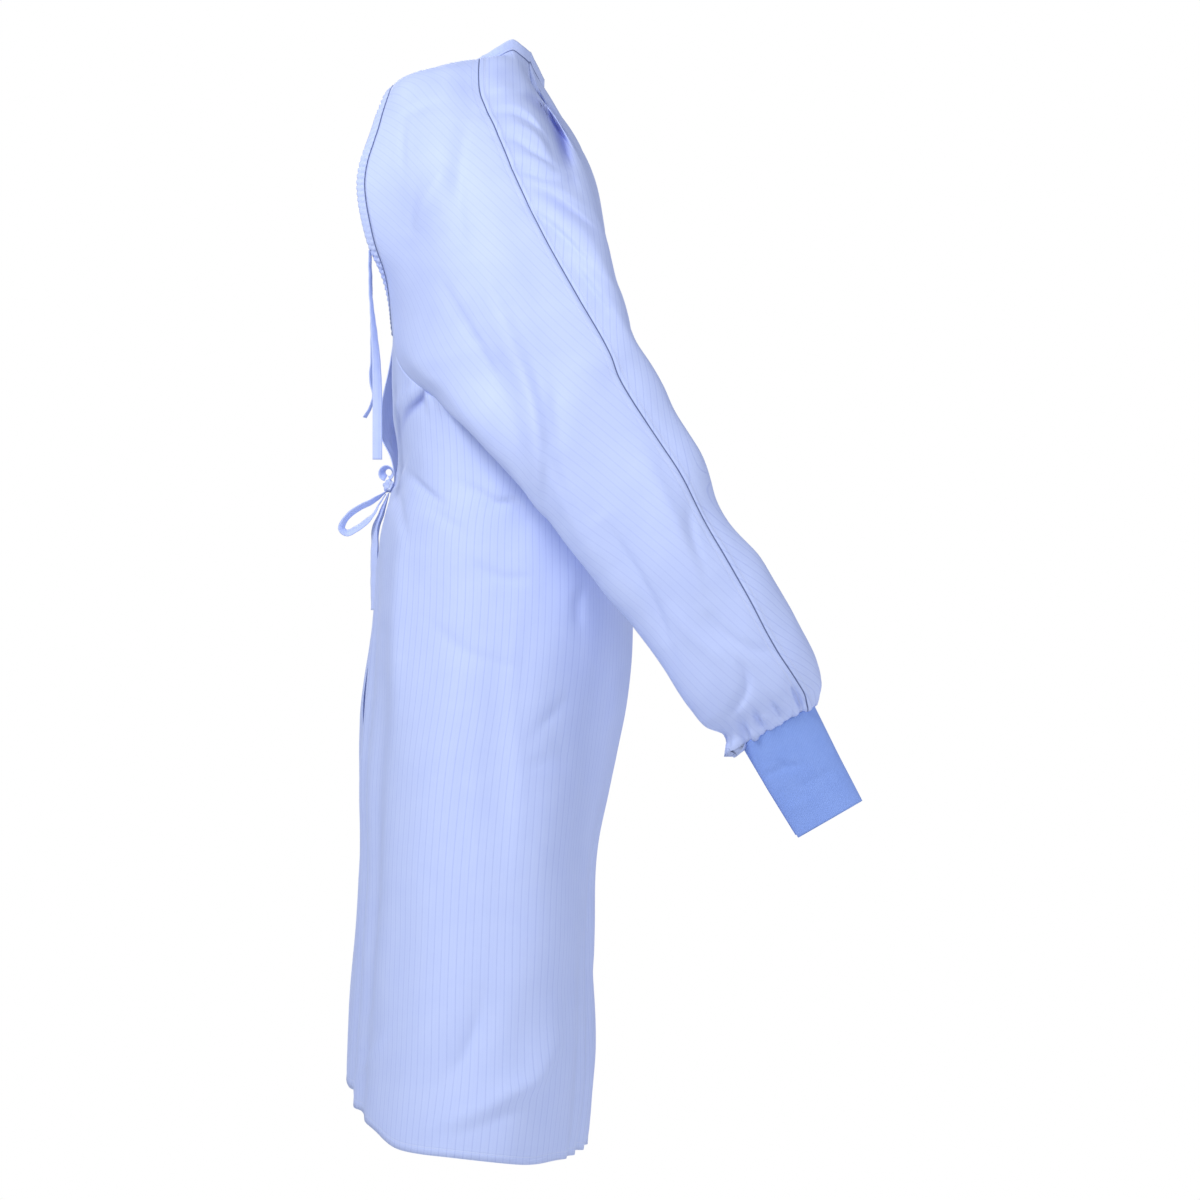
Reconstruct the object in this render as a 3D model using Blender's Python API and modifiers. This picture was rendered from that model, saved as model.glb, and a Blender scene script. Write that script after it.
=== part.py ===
"""Open-back gown in the pose in which it is worn, hollow, one solid for each sewn piece.

Frame: metres, +Z up. The origin is the base of the neck, where the gown hangs on its wearer.
The wearer faces -Y and the wearer's right arm is on the -X side. The tables below are in
millimetres: `out` is the distance from the mid-plane, y is positive towards the back.
"""
import math
from collections import namedtuple

import bmesh
import bpy
import numpy as np

MM = 0.001
CLOTH = 1.5            # wall of the woven cloth with its turned seams
KNIT = 2.4             # wall of the knitted cuffs
TAPE = 1.2             # wall of the flat ties
BINDING = 2.2          # folded binding on the back edge
SEAM_GAP = 0.4         # air between two pieces at a seam

ROW_STEP = 24.0        # spacing of the sleeve's rows along the arm
BACK_COLUMNS = 9       # columns of a sleeve's back piece, from overarm seam to edge
FACE_COLUMNS = 5       # columns of a sleeve's front piece, from overarm seam to front edge
INSIDE_COLUMNS = 6     # columns of its inner side, from front edge to raglan or underarm
NECK_COLUMNS = 8       # columns of the body panel under the front neckline
BODY_ROWS = 24         # rows of the body panel from hem to top
SIDE_COLUMN = 26.0     # its columns under the arms are split to about this width

SLEEVE_CLEAR = 8.0     # air between the inner side of a sleeve and the body panel
BAND_HEIGHT = 11.0
BAND = 2.0             # wall of the doubled neck band
BAND_LEAN = 0.985      # the band's head is this much narrower than its foot
MOUTH_SHORT = 0.05     # share of its last row by which a sleeve's mouth stops short
CUFF_SHORT = 0.015     # and of its first row by which the cuff starts late
CORNER_SHORT = 0.04    # and of a cell by which a corner between three pieces stays back
TIE_WIDTH = 9.5
TAPE_STEP = 6.0        # spacing of the rows along a tie

WOVEN_BLUE = (0.50, 0.59, 0.93)
TAPE_BLUE = (0.44, 0.53, 0.88)
KNIT_BLUE = (0.22, 0.35, 0.79)

# Horizontal sections of the body panel, a rounded oblong at each height.
Ring = namedtuple("Ring", "z front back half square")
BODY = [
    Ring(-1100, -95, 151, 274, 2.2),
    Ring(-1000, -106, 145, 264, 2.2),
    Ring(-880, -104, 137, 250, 2.3),
    Ring(-785, -107, 131, 238, 2.3),
    Ring(-692, -123, 129, 225, 2.4),
    Ring(-609, -139, 122, 215, 2.4),
    Ring(-525, -142, 113, 205, 2.5),
    Ring(-440, -138, 105, 196, 2.6),
    Ring(-402, -134, 92, 191, 2.7),
    Ring(-360, -131, 93, 190, 2.8),
    Ring(-322, -128, 97, 193, 2.8),
    Ring(-262, -123, 99, 200, 2.9),
    Ring(-168, -115, 99, 200, 3.0),
    Ring(-117, -108, 99, 190, 2.8),
    Ring(-65, -88, 99, 165, 2.6),
    Ring(-45, -75, 98, 143, 2.5),
    Ring(-25, -61, 93, 118, 2.4),
    Ring(-15, -54, 90, 111, 2.4),
    Ring(12, -46, 80, 105, 2.4),
]

# Height of the hem at each angle round the body, from the middle of the back (0) to the front.
Hem = namedtuple("Hem", "angle z")
HEM = [
    Hem(0, -993), Hem(25, -999), Hem(38, -1013), Hem(48, -1032), Hem(58, -1047),
    Hem(66, -1060), Hem(74, -1073), Hem(90, -1083), Hem(112, -1089), Hem(150, -1078),
    Hem(180, -1071),
]

# Angle of the free back edges, and how far the left one stands behind the right one.
BackEdge = namedtuple("BackEdge", "z angle left_push")
BACK_EDGE = [
    BackEdge(-1100, 6, 0), BackEdge(-700, 5, 0), BackEdge(-640, 5, 5), BackEdge(-560, 5, 0),
    BackEdge(-430, 5, 0), BackEdge(-402, 5, 0), BackEdge(-390, 6, 1),
    BackEdge(-370, 11, 10), BackEdge(-335, 19, 14),
    BackEdge(-300, 30, 12), BackEdge(-262, 41, 0),
]

PUSH_ANGLE = 60        # the left edge's push fades out at this angle
PUSH_FADE = 40         # and over this height below the seam

# Sections of the sleeve over the shoulder, each from the back edge over the arm to the
# front raglan seam: eight guide points (out, y, z), and the width of the bound edge.
Yoke = namedtuple("Yoke", "edge back side seam front inner low raglan bound")
YOKE = [
    Yoke((94, 91, -14), (92, 62, -9), (87, 36, -3), (82, 10, 7),
         (80, -9, 19), (75, -22, 25), (66, -33, 18), (55, -40, 12), 10),
    Yoke((101, 98, -19), (108, 66, 3), (110, 36, 12), (106, 10, 15),
         (102, -12, 17), (97, -27, 11), (84, -37, 1), (63, -43, -7), 10),
    Yoke((114, 107, -30), (129, 78, -9), (145, 44, -5), (147, 10, -15),
         (143, -14, -14), (132, -34, -16), (110, -49, -22), (75, -48, -25), 10),
    Yoke((124, 113, -43), (143, 85, -30), (168, 45, -27), (171, 4, -34),
         (168, -24, -34), (152, -46, -36), (127, -64, -42), (93, -61, -44), 10),
    Yoke((134, 118, -58), (154, 91, -51), (188, 44, -48), (192, -5, -54),
         (188, -34, -56), (170, -60, -60), (144, -77, -64), (112, -76, -64), 10),
    Yoke((149, 132, -110), (170, 104, -108), (226, 42, -106), (230, -29, -111),
         (228, -64, -117), (210, -92, -120), (180, -102, -119), (148, -89, -117), 10),
    Yoke((142, 121, -170), (166, 93, -172), (246, 20, -168), (252, -58, -170),
         (252, -98, -168), (228, -116, -170), (198, -113, -170), (170, -91, -168), 10),
    Yoke((111, 100, -231), (153, 89, -232), (258, 5, -222), (264, -85, -218),
         (262, -116, -205), (236, -127, -209), (206, -110, -222), (184, -72, -222), 5),
    Yoke((92, 99, -262), (150, 91, -262), (262, -5, -246), (268, -93, -232),
         (264, -121, -219), (234, -132, -224), (208, -101, -248), (192, -40, -262), 3),
    Yoke((122, 86, -293), (185, 76, -290), (267, -20, -268), (270, -102, -247),
         (264, -127, -234), (230, -136, -240), (209, -62, -282), (198, 0, -297), 0),
    Yoke((172, 58, -322), (214, 50, -318), (270, -38, -292), (273, -113, -266),
         (262, -134, -250), (226, -139, -258), (209, 8, -316), (172, 58, -322), 0),
    Yoke((207, 32, -347), (240, 27, -347), (276, -50, -315), (276, -122, -284),
         (257, -144, -268), (217, -141, -281), (207, -40, -337), (207, 32, -347), 0),
]
EDGE_POINT, SEAM_POINT, INNER_POINT, RAGLAN_POINT = 0, 3, 5, 7
NOTCH = 8              # yoke section where the bound edge ends and the back seam starts
ARMPIT = 10            # yoke section where the back and front seams meet
INNER_FROM, INNER_TO = 5, 13  # between these sections the inner side stands off the body

# Oval sections of the sleeve below the armpit: centre, half widths in and across the side
# view, lean of the section in degrees, and where along its width the overarm seam lies.
Arm = namedtuple("Arm", "out y z wide thick lean seam")
ARM = [
    Arm(240, -80, -335, 92, 46, 30, 0.63),
    Arm(243, -110, -377, 84, 46, 30, 0.65),
    Arm(246, -142, -422, 81, 47, 31, 0.65),
    Arm(248, -178, -486, 72, 47, 30, 0.70),
    Arm(245, -219, -537, 70, 45, 30, 0.58),
    Arm(237, -260, -599, 69, 43, 33, 0.50),
    Arm(233, -272, -623, 63, 38, 28, 0.60),
    Arm(231, -281, -634, 54, 30, 26, 0.66),
    Arm(229, -287, -649, 40, 20, 29, 0.80),
]
UNDERARM = 215         # angle of the underarm seam on the oval sections
INNER_ANGLE = -48      # angle where the front piece turns to its inner side
CUFF = [
    Arm(229, -287, -649, 40, 20, 29, 0),
    Arm(227, -300, -673, 39, 18, 29, 0),
    Arm(225, -313, -697, 38, 17, 30, 0),
    Arm(223, -326, -720, 37, 16, 30, 0),
    Arm(222, -339, -743, 36, 16, 30, 0),
]
CUFF_COLUMNS = 22
LEFT_SWING = (0, -5, 3)  # the left cuff hangs this much further forward than the right one
SWING_TOP, SWING_DEPTH = -400.0, 250.0

NECK_SIDE = (30, -49, -2)
NECK_FRONT = (0, -53, -15)

# The largest folds: ridges, or troughs where the height is below zero, each along a line drawn
# on the gown as it is seen from one side. The line's points are (across, z): y in the side
# view, x in the views of the front and the back.
Fold = namedtuple("Fold", "height width line")
SLEEVE_FOLDS = [
    Fold(5, 19, [(-10, -229), (-22, -262), (-36, -298), (-46, -332), (-51, -365), (-53, -430)]),
    Fold(-4, 18, [(22, -250), (-2, -302), (-22, -355), (-28, -415)]),
    Fold(4, 17, [(-53, -363), (-70, -405), (-95, -460), (-120, -505)]),
    Fold(-4.5, 18, [(-108, -440), (-140, -490), (-165, -540), (-178, -575)]),
    Fold(4, 18, [(-150, -375), (-172, -425), (-196, -477), (-214, -530)]),
    Fold(-3.5, 18, [(24, -40), (30, -85), (32, -130), (26, -178)]),
    Fold(3, 16, [(76, -160), (60, -123), (42, -88)]),
    Fold(-6, 13, [(-48, -26), (-62, -45), (-69, -72), (-78, -104)]),
    Fold(-3.5, 16, [(-56, -150), (-76, -175), (-100, -200)]),
]
BODY_SIDE_FOLDS = [
    Fold(4, 17, [(87, -440), (88, -470), (91, -515), (94, -570), (91, -635)]),
    Fold(5, 20, [(54, -1053), (14, -1039), (-21, -1019), (-42, -1008), (-55, -985), (-66, -935)]),
    Fold(-4, 17, [(40, -1010), (24, -985), (12, -950), (6, -900)]),
    Fold(3.5, 26, [(20, -485), (28, -585), (35, -690), (38, -790)]),
    Fold(-4, 26, [(-12, -560), (-8, -665), (-14, -780), (-10, -880)]),
    Fold(3.5, 24, [(-56, -700), (-58, -820), (-50, -930)]),
    Fold(-3.5, 20, [(80, -800), (88, -900), (92, -1000)]),
]
BODY_FRONT_FOLDS = [
    Fold(-13, 22, [(-98, -1300), (-88, -1050), (-74, -880), (-58, -700)]),
    Fold(-9, 18, [(-33, -1250), (-28, -1040), (-22, -900)]),
    Fold(-14, 22, [(47, -1350), (43, -1040), (36, -840), (30, -620)]),
    Fold(-11, 20, [(108, -1250), (98, -1040), (82, -870)]),
    Fold(-10, 20, [(-146, -1250), (-138, -1020), (-118, -820)]),
    Fold(-12, 22, [(156, -1280), (146, -1030), (122, -790)]),
    Fold(-7, 18, [(-122, -170), (-98, -225), (-62, -278), (-16, -306)]),
    Fold(-7, 18, [(118, -176), (90, -236), (54, -286), (10, -318)]),
]
BODY_BACK_FOLDS = [
    Fold(-11, 20, [(-52, -490), (-66, -640), (-84, -860), (-96, -1200)]),
    Fold(-10, 20, [(-124, -560), (-138, -780), (-152, -1200)]),
    Fold(-11, 20, [(56, -500), (74, -660), (94, -880), (104, -1200)]),
    Fold(-10, 20, [(128, -590), (144, -800), (158, -1200)]),
]
FOLD_SPOTS = 40        # points that a fold's line is read at
BORDER_FADE = 30       # the folds fade out towards a piece's seams over this distance
PLEATS = [1.2, 2.6, 2.2]  # height of the pleats over the cuff, on the rows above the last
PLEAT_FADE = 10        # the pleats fade out this near to the underarm seam
FACING_FROM, FACING_RISE = -0.1, 3.0  # from which facing a surface takes folds, how fast

# Flat ties: a guide point and the angle of the tape's width, 0 across the gown, 90 in its
# side view.
Tape = namedtuple("Tape", "x y z turn")
TIES = {
    "bow_loop": [
        Tape(-1, 104.8, -417.2, 0), Tape(-5, 110, -421.5, 25), Tape(-10, 117, -426, 46),
        Tape(-13, 127.5, -431, 48), Tape(-15, 139, -438.5, 50), Tape(-16, 146.5, -447, 52),
        Tape(-16, 148.5, -454, 60), Tape(-15, 143.5, -458, 62), Tape(-13, 134, -454, 52),
        Tape(-10, 123.5, -446.5, 45), Tape(-7, 116.5, -439, 20), Tape(-3, 111, -430, 0),
        Tape(-1, 104, -419.4, 0),
    ],
    "bow_tail_right": [
        Tape(-5, 101.8, -418.4, 0), Tape(-6, 106.5, -431, 12), Tape(-6, 112, -444, 20),
        Tape(-5, 115, -452, 28), Tape(-5, 115.5, -466, 35), Tape(-5, 116, -500, 38),
        Tape(-5, 115.5, -535, 38),
    ],
    "bow_tail_left": [
        Tape(5, 101.5, -418.4, 0), Tape(6.5, 107, -436, 20), Tape(6, 113, -452, 30),
        Tape(5.5, 115, -480, 38), Tape(5.5, 115.5, -515, 40),
    ],
    "upper_tie_right": [
        Tape(-137, 120.0, -176, 5), Tape(-131, 119.2, -215, 12), Tape(-127, 116, -250, 30),
        Tape(-122, 113, -290, 60), Tape(-117, 112, -325, 85), Tape(-115, 112, -350, 90),
        Tape(-113, 112, -385, 90),
    ],
    "upper_tie_left": [
        Tape(137, 120.3, -176, 5), Tape(131, 119.4, -215, 10), Tape(128, 119, -250, 12),
        Tape(125, 118.5, -285, 20), Tape(122, 119.5, -305, 20), Tape(120, 117, -322, 15),
        Tape(120, 121, -333, 15), Tape(121, 126, -342, 20),
    ],
}
EYE_CENTRE, EYE_RADIUS = (0, 102.5, -397.8), 5.5
EYE_STEP = 2.8
KNOT = (0, 101, -411)
KNOT_RADII = (6, 6, 7)
WAIST_TIE_LIFT = 4.3   # the waist ties stand off the panel, which leans by WAIST_SLOPE
WAIST_SLOPE = 19
WAIST_TIE_ANGLE = 22   # where round the body they are sewn on
WAIST_TIE = [(24, 1.5), (13, 2.5)]  # out, and how much further off: the points to the knot


def curve(knots, values, at):
    """Smooth curve that meets values[k] at knots[k], read at the places `at`."""
    knots, values = np.asarray(knots, float), np.asarray(values, float)
    at = np.clip(np.asarray(at, float), knots[0], knots[-1])
    step = np.diff(knots)
    shape = (-1,) + (1,) * (values.ndim - 1)
    rise = np.diff(values, axis=0) / step.reshape(shape)
    before, after = step[:-1].reshape(shape), step[1:].reshape(shape)
    inside = (rise[:-1] * after + rise[1:] * before) / (before + after)
    slope = np.concatenate([rise[:1], inside, rise[-1:]])
    k = np.clip(np.searchsorted(knots, at, side="right") - 1, 0, len(step) - 1)
    width = step[k].reshape(shape)
    t = ((at - knots[k]) / step[k]).reshape(shape)
    return (values[k] * (1 + 2 * t) * (1 - t) ** 2 + slope[k] * width * t * (1 - t) ** 2
            + values[k + 1] * t ** 2 * (3 - 2 * t) + slope[k + 1] * width * t ** 2 * (t - 1))


def distances(points):
    """Distance along a line of points, starting at zero."""
    steps = np.linalg.norm(np.diff(points, axis=0), axis=1)
    return np.concatenate([[0], np.cumsum(steps)])


def stretch(line, start, stop, count):
    """Evenly spaced points along a line, from one distance along it to another."""
    at = distances(line)
    places = np.linspace(start, stop, count)
    return np.stack([np.interp(places, at, line[:, axis]) for axis in range(3)], axis=1)


def mirrored(points):
    """The same points on the other side of the gown."""
    return points * np.array([-1, 1, 1])


# ---------------------------------------------------------------- objects and materials
for old in list(bpy.data.objects):
    bpy.data.objects.remove(old, do_unlink=True)
gown = bpy.data.collections.new("open_back_gown")
bpy.context.scene.collection.children.link(gown)


def cloth_material(name, colour, roughness):
    material = bpy.data.materials.new(name)
    material.use_nodes = True
    shader = material.node_tree.nodes["Principled BSDF"]
    shader.inputs["Base Color"].default_value = (*colour, 1)
    shader.inputs["Roughness"].default_value = roughness
    shader.inputs["Metallic"].default_value = 0
    return material


def wall(name, grid, thickness, colour, roughness=0.7, closed=False):
    """A cloth wall on a grid of points (rows, columns, xyz), with Solidify."""
    rows, columns = grid.shape[:2]
    mesh = bpy.data.meshes.new(name)
    sheet = bmesh.new()
    bmesh.ops.create_grid(sheet, x_segments=columns - 1, y_segments=rows - 1, size=1)
    for vert, point in zip(sheet.verts, grid.reshape(-1, 3)):
        vert.co = point * MM
    if closed:
        bmesh.ops.remove_doubles(sheet, verts=sheet.verts, dist=0.01 * MM)
    sheet.to_mesh(mesh)
    sheet.free()
    mesh.shade_smooth()
    mesh.materials.append(cloth_material(name, colour, roughness))
    piece = bpy.data.objects.new(name, mesh)
    gown.objects.link(piece)
    solidify = piece.modifiers.new("wall", "SOLIDIFY")
    solidify.thickness = thickness * MM
    solidify.offset = 0
    return piece


# ---------------------------------------------------------------- the sleeve's rows
def oval(section, start, stop, count):
    """Points of an oval arm section between two angles, outer side at 90 degrees."""
    angle = np.radians(np.linspace(start, stop, count))
    lean = math.radians(section.lean)
    along = section.wide * np.cos(angle)
    return np.stack([section.out + section.thick * np.sin(angle),
                     section.y - along * math.cos(lean),
                     section.z + along * math.sin(lean)], axis=1)


DENSE = 81


def sleeve_lines():
    """Each section as dense lines: overarm seam to back, to inner guide, and on to the front."""
    back, face, inside = [], [], []
    for row in YOKE:
        guides = np.array(row[:RAGLAN_POINT + 1], float)
        at = distances(guides)
        back.append(curve(at, guides, np.linspace(at[SEAM_POINT], at[EDGE_POINT], DENSE)))
        face.append(curve(at, guides, np.linspace(at[SEAM_POINT], at[INNER_POINT], DENSE)))
        inside.append(curve(at, guides, np.linspace(at[INNER_POINT], at[RAGLAN_POINT], DENSE)))
    for section in ARM:
        seam = math.degrees(math.acos(section.seam))
        back.append(oval(section, seam, UNDERARM, DENSE))
        face.append(oval(section, seam, INNER_ANGLE, DENSE))
        inside.append(oval(section, INNER_ANGLE, UNDERARM - 360, DENSE))
    return back, face, inside


def evenly(line, columns, short=0.0):
    """Evenly spaced points along a line, ending a little short of its end."""
    return stretch(line, 0, distances(line)[-1] - short, columns + 1)


back_lines, face_lines, inside_lines = sleeve_lines()
middle_points = np.stack([(b[DENSE // 2] + f[0] + f[-1]) / 3
                          for b, f in zip(back_lines, face_lines)])
STATIONS = distances(middle_points)
places = [STATIONS[0]]
row_of_station = [0]
for number, (first, last) in enumerate(zip(STATIONS, STATIONS[1:])):
    parts = max(2 if NOTCH <= number < ARMPIT else 1, round((last - first) / ROW_STEP))
    places.extend(first + (last - first) * (i + 1) / parts for i in range(parts))
    row_of_station.append(len(places) - 1)
places = np.array(places)
notch_row, armpit_row = row_of_station[NOTCH], row_of_station[ARMPIT]
bound = [row.bound for row in YOKE] + [0] * len(ARM)


def along_arm(station_rows):
    """Rows at every place along the arm, on smooth lines through the stations."""
    return curve(STATIONS, np.stack(station_rows), places)


back_raw = along_arm([evenly(line, BACK_COLUMNS, width)
                      for line, width in zip(back_lines, bound)])
edge_raw = along_arm([stretch(line, distances(line)[-1] - width, distances(line)[-1], 3)
                      for line, width in zip(back_lines, bound)])[:notch_row + 1]
face_raw = along_arm([evenly(line, FACE_COLUMNS) for line in face_lines])
inside_raw = along_arm([evenly(line, INSIDE_COLUMNS) for line in inside_lines])
front_raw = np.concatenate([face_raw, inside_raw[:, 1:]], axis=1)


# ---------------------------------------------------------------- the body panel
def ring_sizes(z):
    """Middle, depth, half width and squareness of the body's section at each height."""
    front, back, half, square = curve([r.z for r in BODY], [r[1:] for r in BODY], z).T
    return (front + back) / 2, (back - front) / 2, half, square


def ring_radius(angle, z):
    middle, deep, half, square = ring_sizes(z)
    sine, cosine = np.abs(np.sin(np.radians(angle))), np.abs(np.cos(np.radians(angle)))
    return ((sine / half) ** square + (cosine / deep) ** square) ** (-1 / square)


def body_ring(angle, z):
    """Points of the body at angles in degrees, 0 at the back and 90 at the side."""
    radius, middle = ring_radius(angle, z), ring_sizes(z)[0]
    return np.stack([radius * np.sin(np.radians(angle)),
                     middle + radius * np.cos(np.radians(angle)), z], axis=-1)


def ring_angle(points):
    """Angle of points round the body's section at their height."""
    return np.degrees(np.arctan2(points[..., 0], points[..., 1] - ring_sizes(points[..., 2])[0]))


def on_body(points):
    """The points of the body panel at the same angle and height."""
    return body_ring(ring_angle(points), points[..., 2])


def settle_on_body(grid, rows):
    """Move a sleeve's last column onto the body panel, and its neighbours part of the way."""
    shift = on_body(grid[rows, -1]) - grid[rows, -1]
    for column, share in ((-1, 1.0), (-2, 0.6), (-3, 0.3)):
        grid[rows, column] += shift * share


def stand_off(grid, rows, columns):
    """Keep the inner side of a sleeve outside the body panel, more so away from the seam."""
    for column in columns:
        points = grid[rows, column]
        middle = ring_sizes(points[:, 2])[0]
        angle = ring_angle(points)
        away = np.linalg.norm(points - grid[rows, -1], axis=1)
        least = ring_radius(angle, points[:, 2]) + np.minimum(SLEEVE_CLEAR, 0.4 * away)
        radius = np.maximum(np.hypot(points[:, 0], points[:, 1] - middle), least)
        points[:, 0] = radius * np.sin(np.radians(angle))
        points[:, 1] = middle + radius * np.cos(np.radians(angle))


settle_on_body(front_raw, slice(0, armpit_row + 1))
settle_on_body(back_raw, slice(notch_row, armpit_row + 1))
back_raw[armpit_row, -1] = front_raw[armpit_row, -1]
edge_raw[-1, -1] += back_raw[notch_row, -1] - edge_raw[-1, 0]
edge_raw[-1, 0] = back_raw[notch_row, -1]
inner_end = row_of_station[INNER_TO]
stand_off(front_raw, slice(row_of_station[INNER_FROM], inner_end), range(-INSIDE_COLUMNS, -1))
stand_off(back_raw, slice(armpit_row + 1, inner_end), (-3, -2))


def back_edge_angle(z):
    return curve([e.z for e in BACK_EDGE], [[e.angle] for e in BACK_EDGE], z)[:, 0]


def body_column(top, armpit_angle, left):
    """One column of the body panel, from the hem up to its point on a seam or neckline."""
    top_angle = ring_angle(top[None])[0]
    if top_angle < armpit_angle:
        edge = back_edge_angle(top[2:])[0]
        share = max(0.0, (top_angle - edge) / (armpit_angle - edge))
        hem_angle = back_edge_angle([HEM[0].z])[0] * (1 - share) + armpit_angle * share
    else:
        share, hem_angle = 1, top_angle
    hem = curve([h.angle for h in HEM], [[h.z] for h in HEM], [hem_angle])[0, 0]
    z = np.linspace(hem, top[2], BODY_ROWS + 1)
    angle = back_edge_angle(z) * (1 - share) + max(top_angle, armpit_angle) * share
    points = body_ring(angle, z)
    if left:
        push = curve([e.z for e in BACK_EDGE], [[e.left_push] for e in BACK_EDGE], z)[:, 0]
        below_seam = np.clip((top[2] - z) / PUSH_FADE, 0, 1)
        points[:, 1] += push * np.clip(1 - angle / PUSH_ANGLE, 0, 1) * below_seam
    points[-1] = top
    return points


back_seam = back_raw[notch_row:armpit_row + 1, -1]
front_seam = front_raw[:armpit_row + 1, -1][::-1]
neck_guides = np.array([front_raw[0, -1], NECK_SIDE, NECK_FRONT], float)
neck_guides = np.concatenate([neck_guides, mirrored(neck_guides[:2])[::-1]])
neck_knots = distances(neck_guides)
neckline = curve(neck_knots, neck_guides, np.linspace(0, neck_knots[-1], NECK_COLUMNS + 1))
half_neck = on_body(neckline[1:NECK_COLUMNS // 2 + 1])
half_neck[-1, 0] = 0
tops = np.concatenate([back_seam, front_seam[1:], half_neck])
armpit_angle = ring_angle(back_seam)[-1]
right_half = np.stack([mirrored(body_column(top, armpit_angle, False)) for top in tops], axis=1)
left_half = np.stack([body_column(top, armpit_angle, True) for top in tops], axis=1)
body_raw = np.concatenate([right_half, left_half[:, -2::-1]], axis=1)
column_widths = np.linalg.norm(np.diff(body_raw, axis=1), axis=2).mean(axis=0)
column_knots = np.concatenate([[0], np.cumsum(column_widths)])
column_parts = [max(1, round(width / SIDE_COLUMN)) for width in column_widths]
column_places = np.concatenate(
    [[0], *(np.linspace(a, b, parts + 1)[1:]
            for a, b, parts in zip(column_knots, column_knots[1:], column_parts))])


def split_line(line):
    """A line with a point for each column, with points for the added columns."""
    return np.stack([np.interp(column_places, column_knots, line[:, axis]) for axis in range(3)],
                    axis=1)


body_top = split_line(body_raw[-1])
body_raw = curve(column_knots, body_raw.transpose(1, 0, 2), column_places).transpose(1, 0, 2)
body_raw[-1] = body_top


# ---------------------------------------------------------------- folds
def unit(vectors):
    return vectors / np.linalg.norm(vectors, axis=-1, keepdims=True)


def outward(grid):
    """Unit normals of a grid of points, out of the hollow that its rows bend round."""
    normals = unit(np.cross(np.gradient(grid, axis=0), np.gradient(grid, axis=1)) + 1e-9)
    middle = (grid[:, :1] + grid[:, -1:]) / 2
    return normals * np.sign(((grid - middle) * normals).sum(-1).mean())


def from_border(grid):
    """Distance of each point from the grid's sides and its first row, along the grid."""
    over = np.linalg.norm(np.diff(grid, axis=1), axis=-1)
    over = np.concatenate([np.zeros((len(grid), 1)), np.cumsum(over, axis=1)], axis=1)
    down = np.linalg.norm(np.diff(grid, axis=0), axis=-1)
    down = np.concatenate([np.zeros((1, grid.shape[1])), np.cumsum(down, axis=0)])
    return np.minimum(over, over[:, -1:] - over), down


def fold_lift(grid, folds, across, facing):
    """How far the folds of one view lift the points of a grid that face it."""
    lift = np.zeros(grid.shape[:2])
    flat = np.stack([grid[..., across], grid[..., 2]], axis=-1)
    for fold in folds:
        line = np.array(fold.line, float)
        at = distances(line)
        spots = curve(at, line, np.linspace(0, at[-1], FOLD_SPOTS))
        gap = np.linalg.norm(flat[..., None, :] - spots, axis=-1)
        nearest = gap.argmin(axis=-1) / (FOLD_SPOTS - 1)
        taper = np.sin(np.pi * np.clip(nearest, 0.08, 0.92)) ** 0.7
        lift += fold.height * taper * np.exp(-(gap.min(axis=-1) / fold.width) ** 2)
    return lift * np.clip((facing - FACING_FROM) * FACING_RISE, 0, 1)


sleeve_raw = np.concatenate([back_raw[:, ::-1], front_raw[:, 1:]], axis=1)
sleeve_out = outward(sleeve_raw)
sides, top = from_border(sleeve_raw)
fade = np.clip(sides / BORDER_FADE, 0, 1) * np.clip(top / BORDER_FADE, 0, 1)
lift = fade * fold_lift(sleeve_raw, SLEEVE_FOLDS, 1, sleeve_out[..., 0])
pleat = (-1.0) ** np.arange(sleeve_raw.shape[1])
for rows_up, height in enumerate(PLEATS):
    lift[-2 - rows_up] += height * pleat * np.clip(sides[-2 - rows_up] / PLEAT_FADE, 0, 1)
lift[-1] = 0
sleeve_raw += sleeve_out * lift[..., None]
back_raw, front_raw = sleeve_raw[:, BACK_COLUMNS::-1].copy(), sleeve_raw[:, BACK_COLUMNS:].copy()

body_out = outward(body_raw)
top = from_border(body_raw[::-1])[1][::-1]
side_view = (fold_lift(body_raw, BODY_SIDE_FOLDS, 1, -body_out[..., 0])
             + fold_lift(body_raw, BODY_SIDE_FOLDS, 1, body_out[..., 0]))
lift = (side_view + fold_lift(body_raw, BODY_FRONT_FOLDS, 0, -body_out[..., 1])
        + fold_lift(body_raw, BODY_BACK_FOLDS, 0, body_out[..., 1]))
body_raw += body_out * (lift * np.clip(top / BORDER_FADE, 0, 1))[..., None]


# ---------------------------------------------------------------- seams
def eased(border, inside, beyond, thickness):
    """Border points moved into their own piece, so that it stays clear of the next piece."""
    tangent = unit(np.gradient(border, axis=0))
    own, other = inside - border, beyond - border
    own = unit(own - (own * tangent).sum(-1, keepdims=True) * tangent)
    other = unit(other - (other * tangent).sum(-1, keepdims=True) * tangent)
    opening = np.arccos(np.clip((own * other).sum(-1), -1, 1))
    margin = SEAM_GAP / 2 + thickness / 2 / np.tan(np.clip(opening, 0.4, 3.1) / 2)
    return border + own * margin[..., None]


seam_columns = len(back_seam) + len(front_seam) - 1
down_body = mirrored(right_half[-2])


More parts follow.
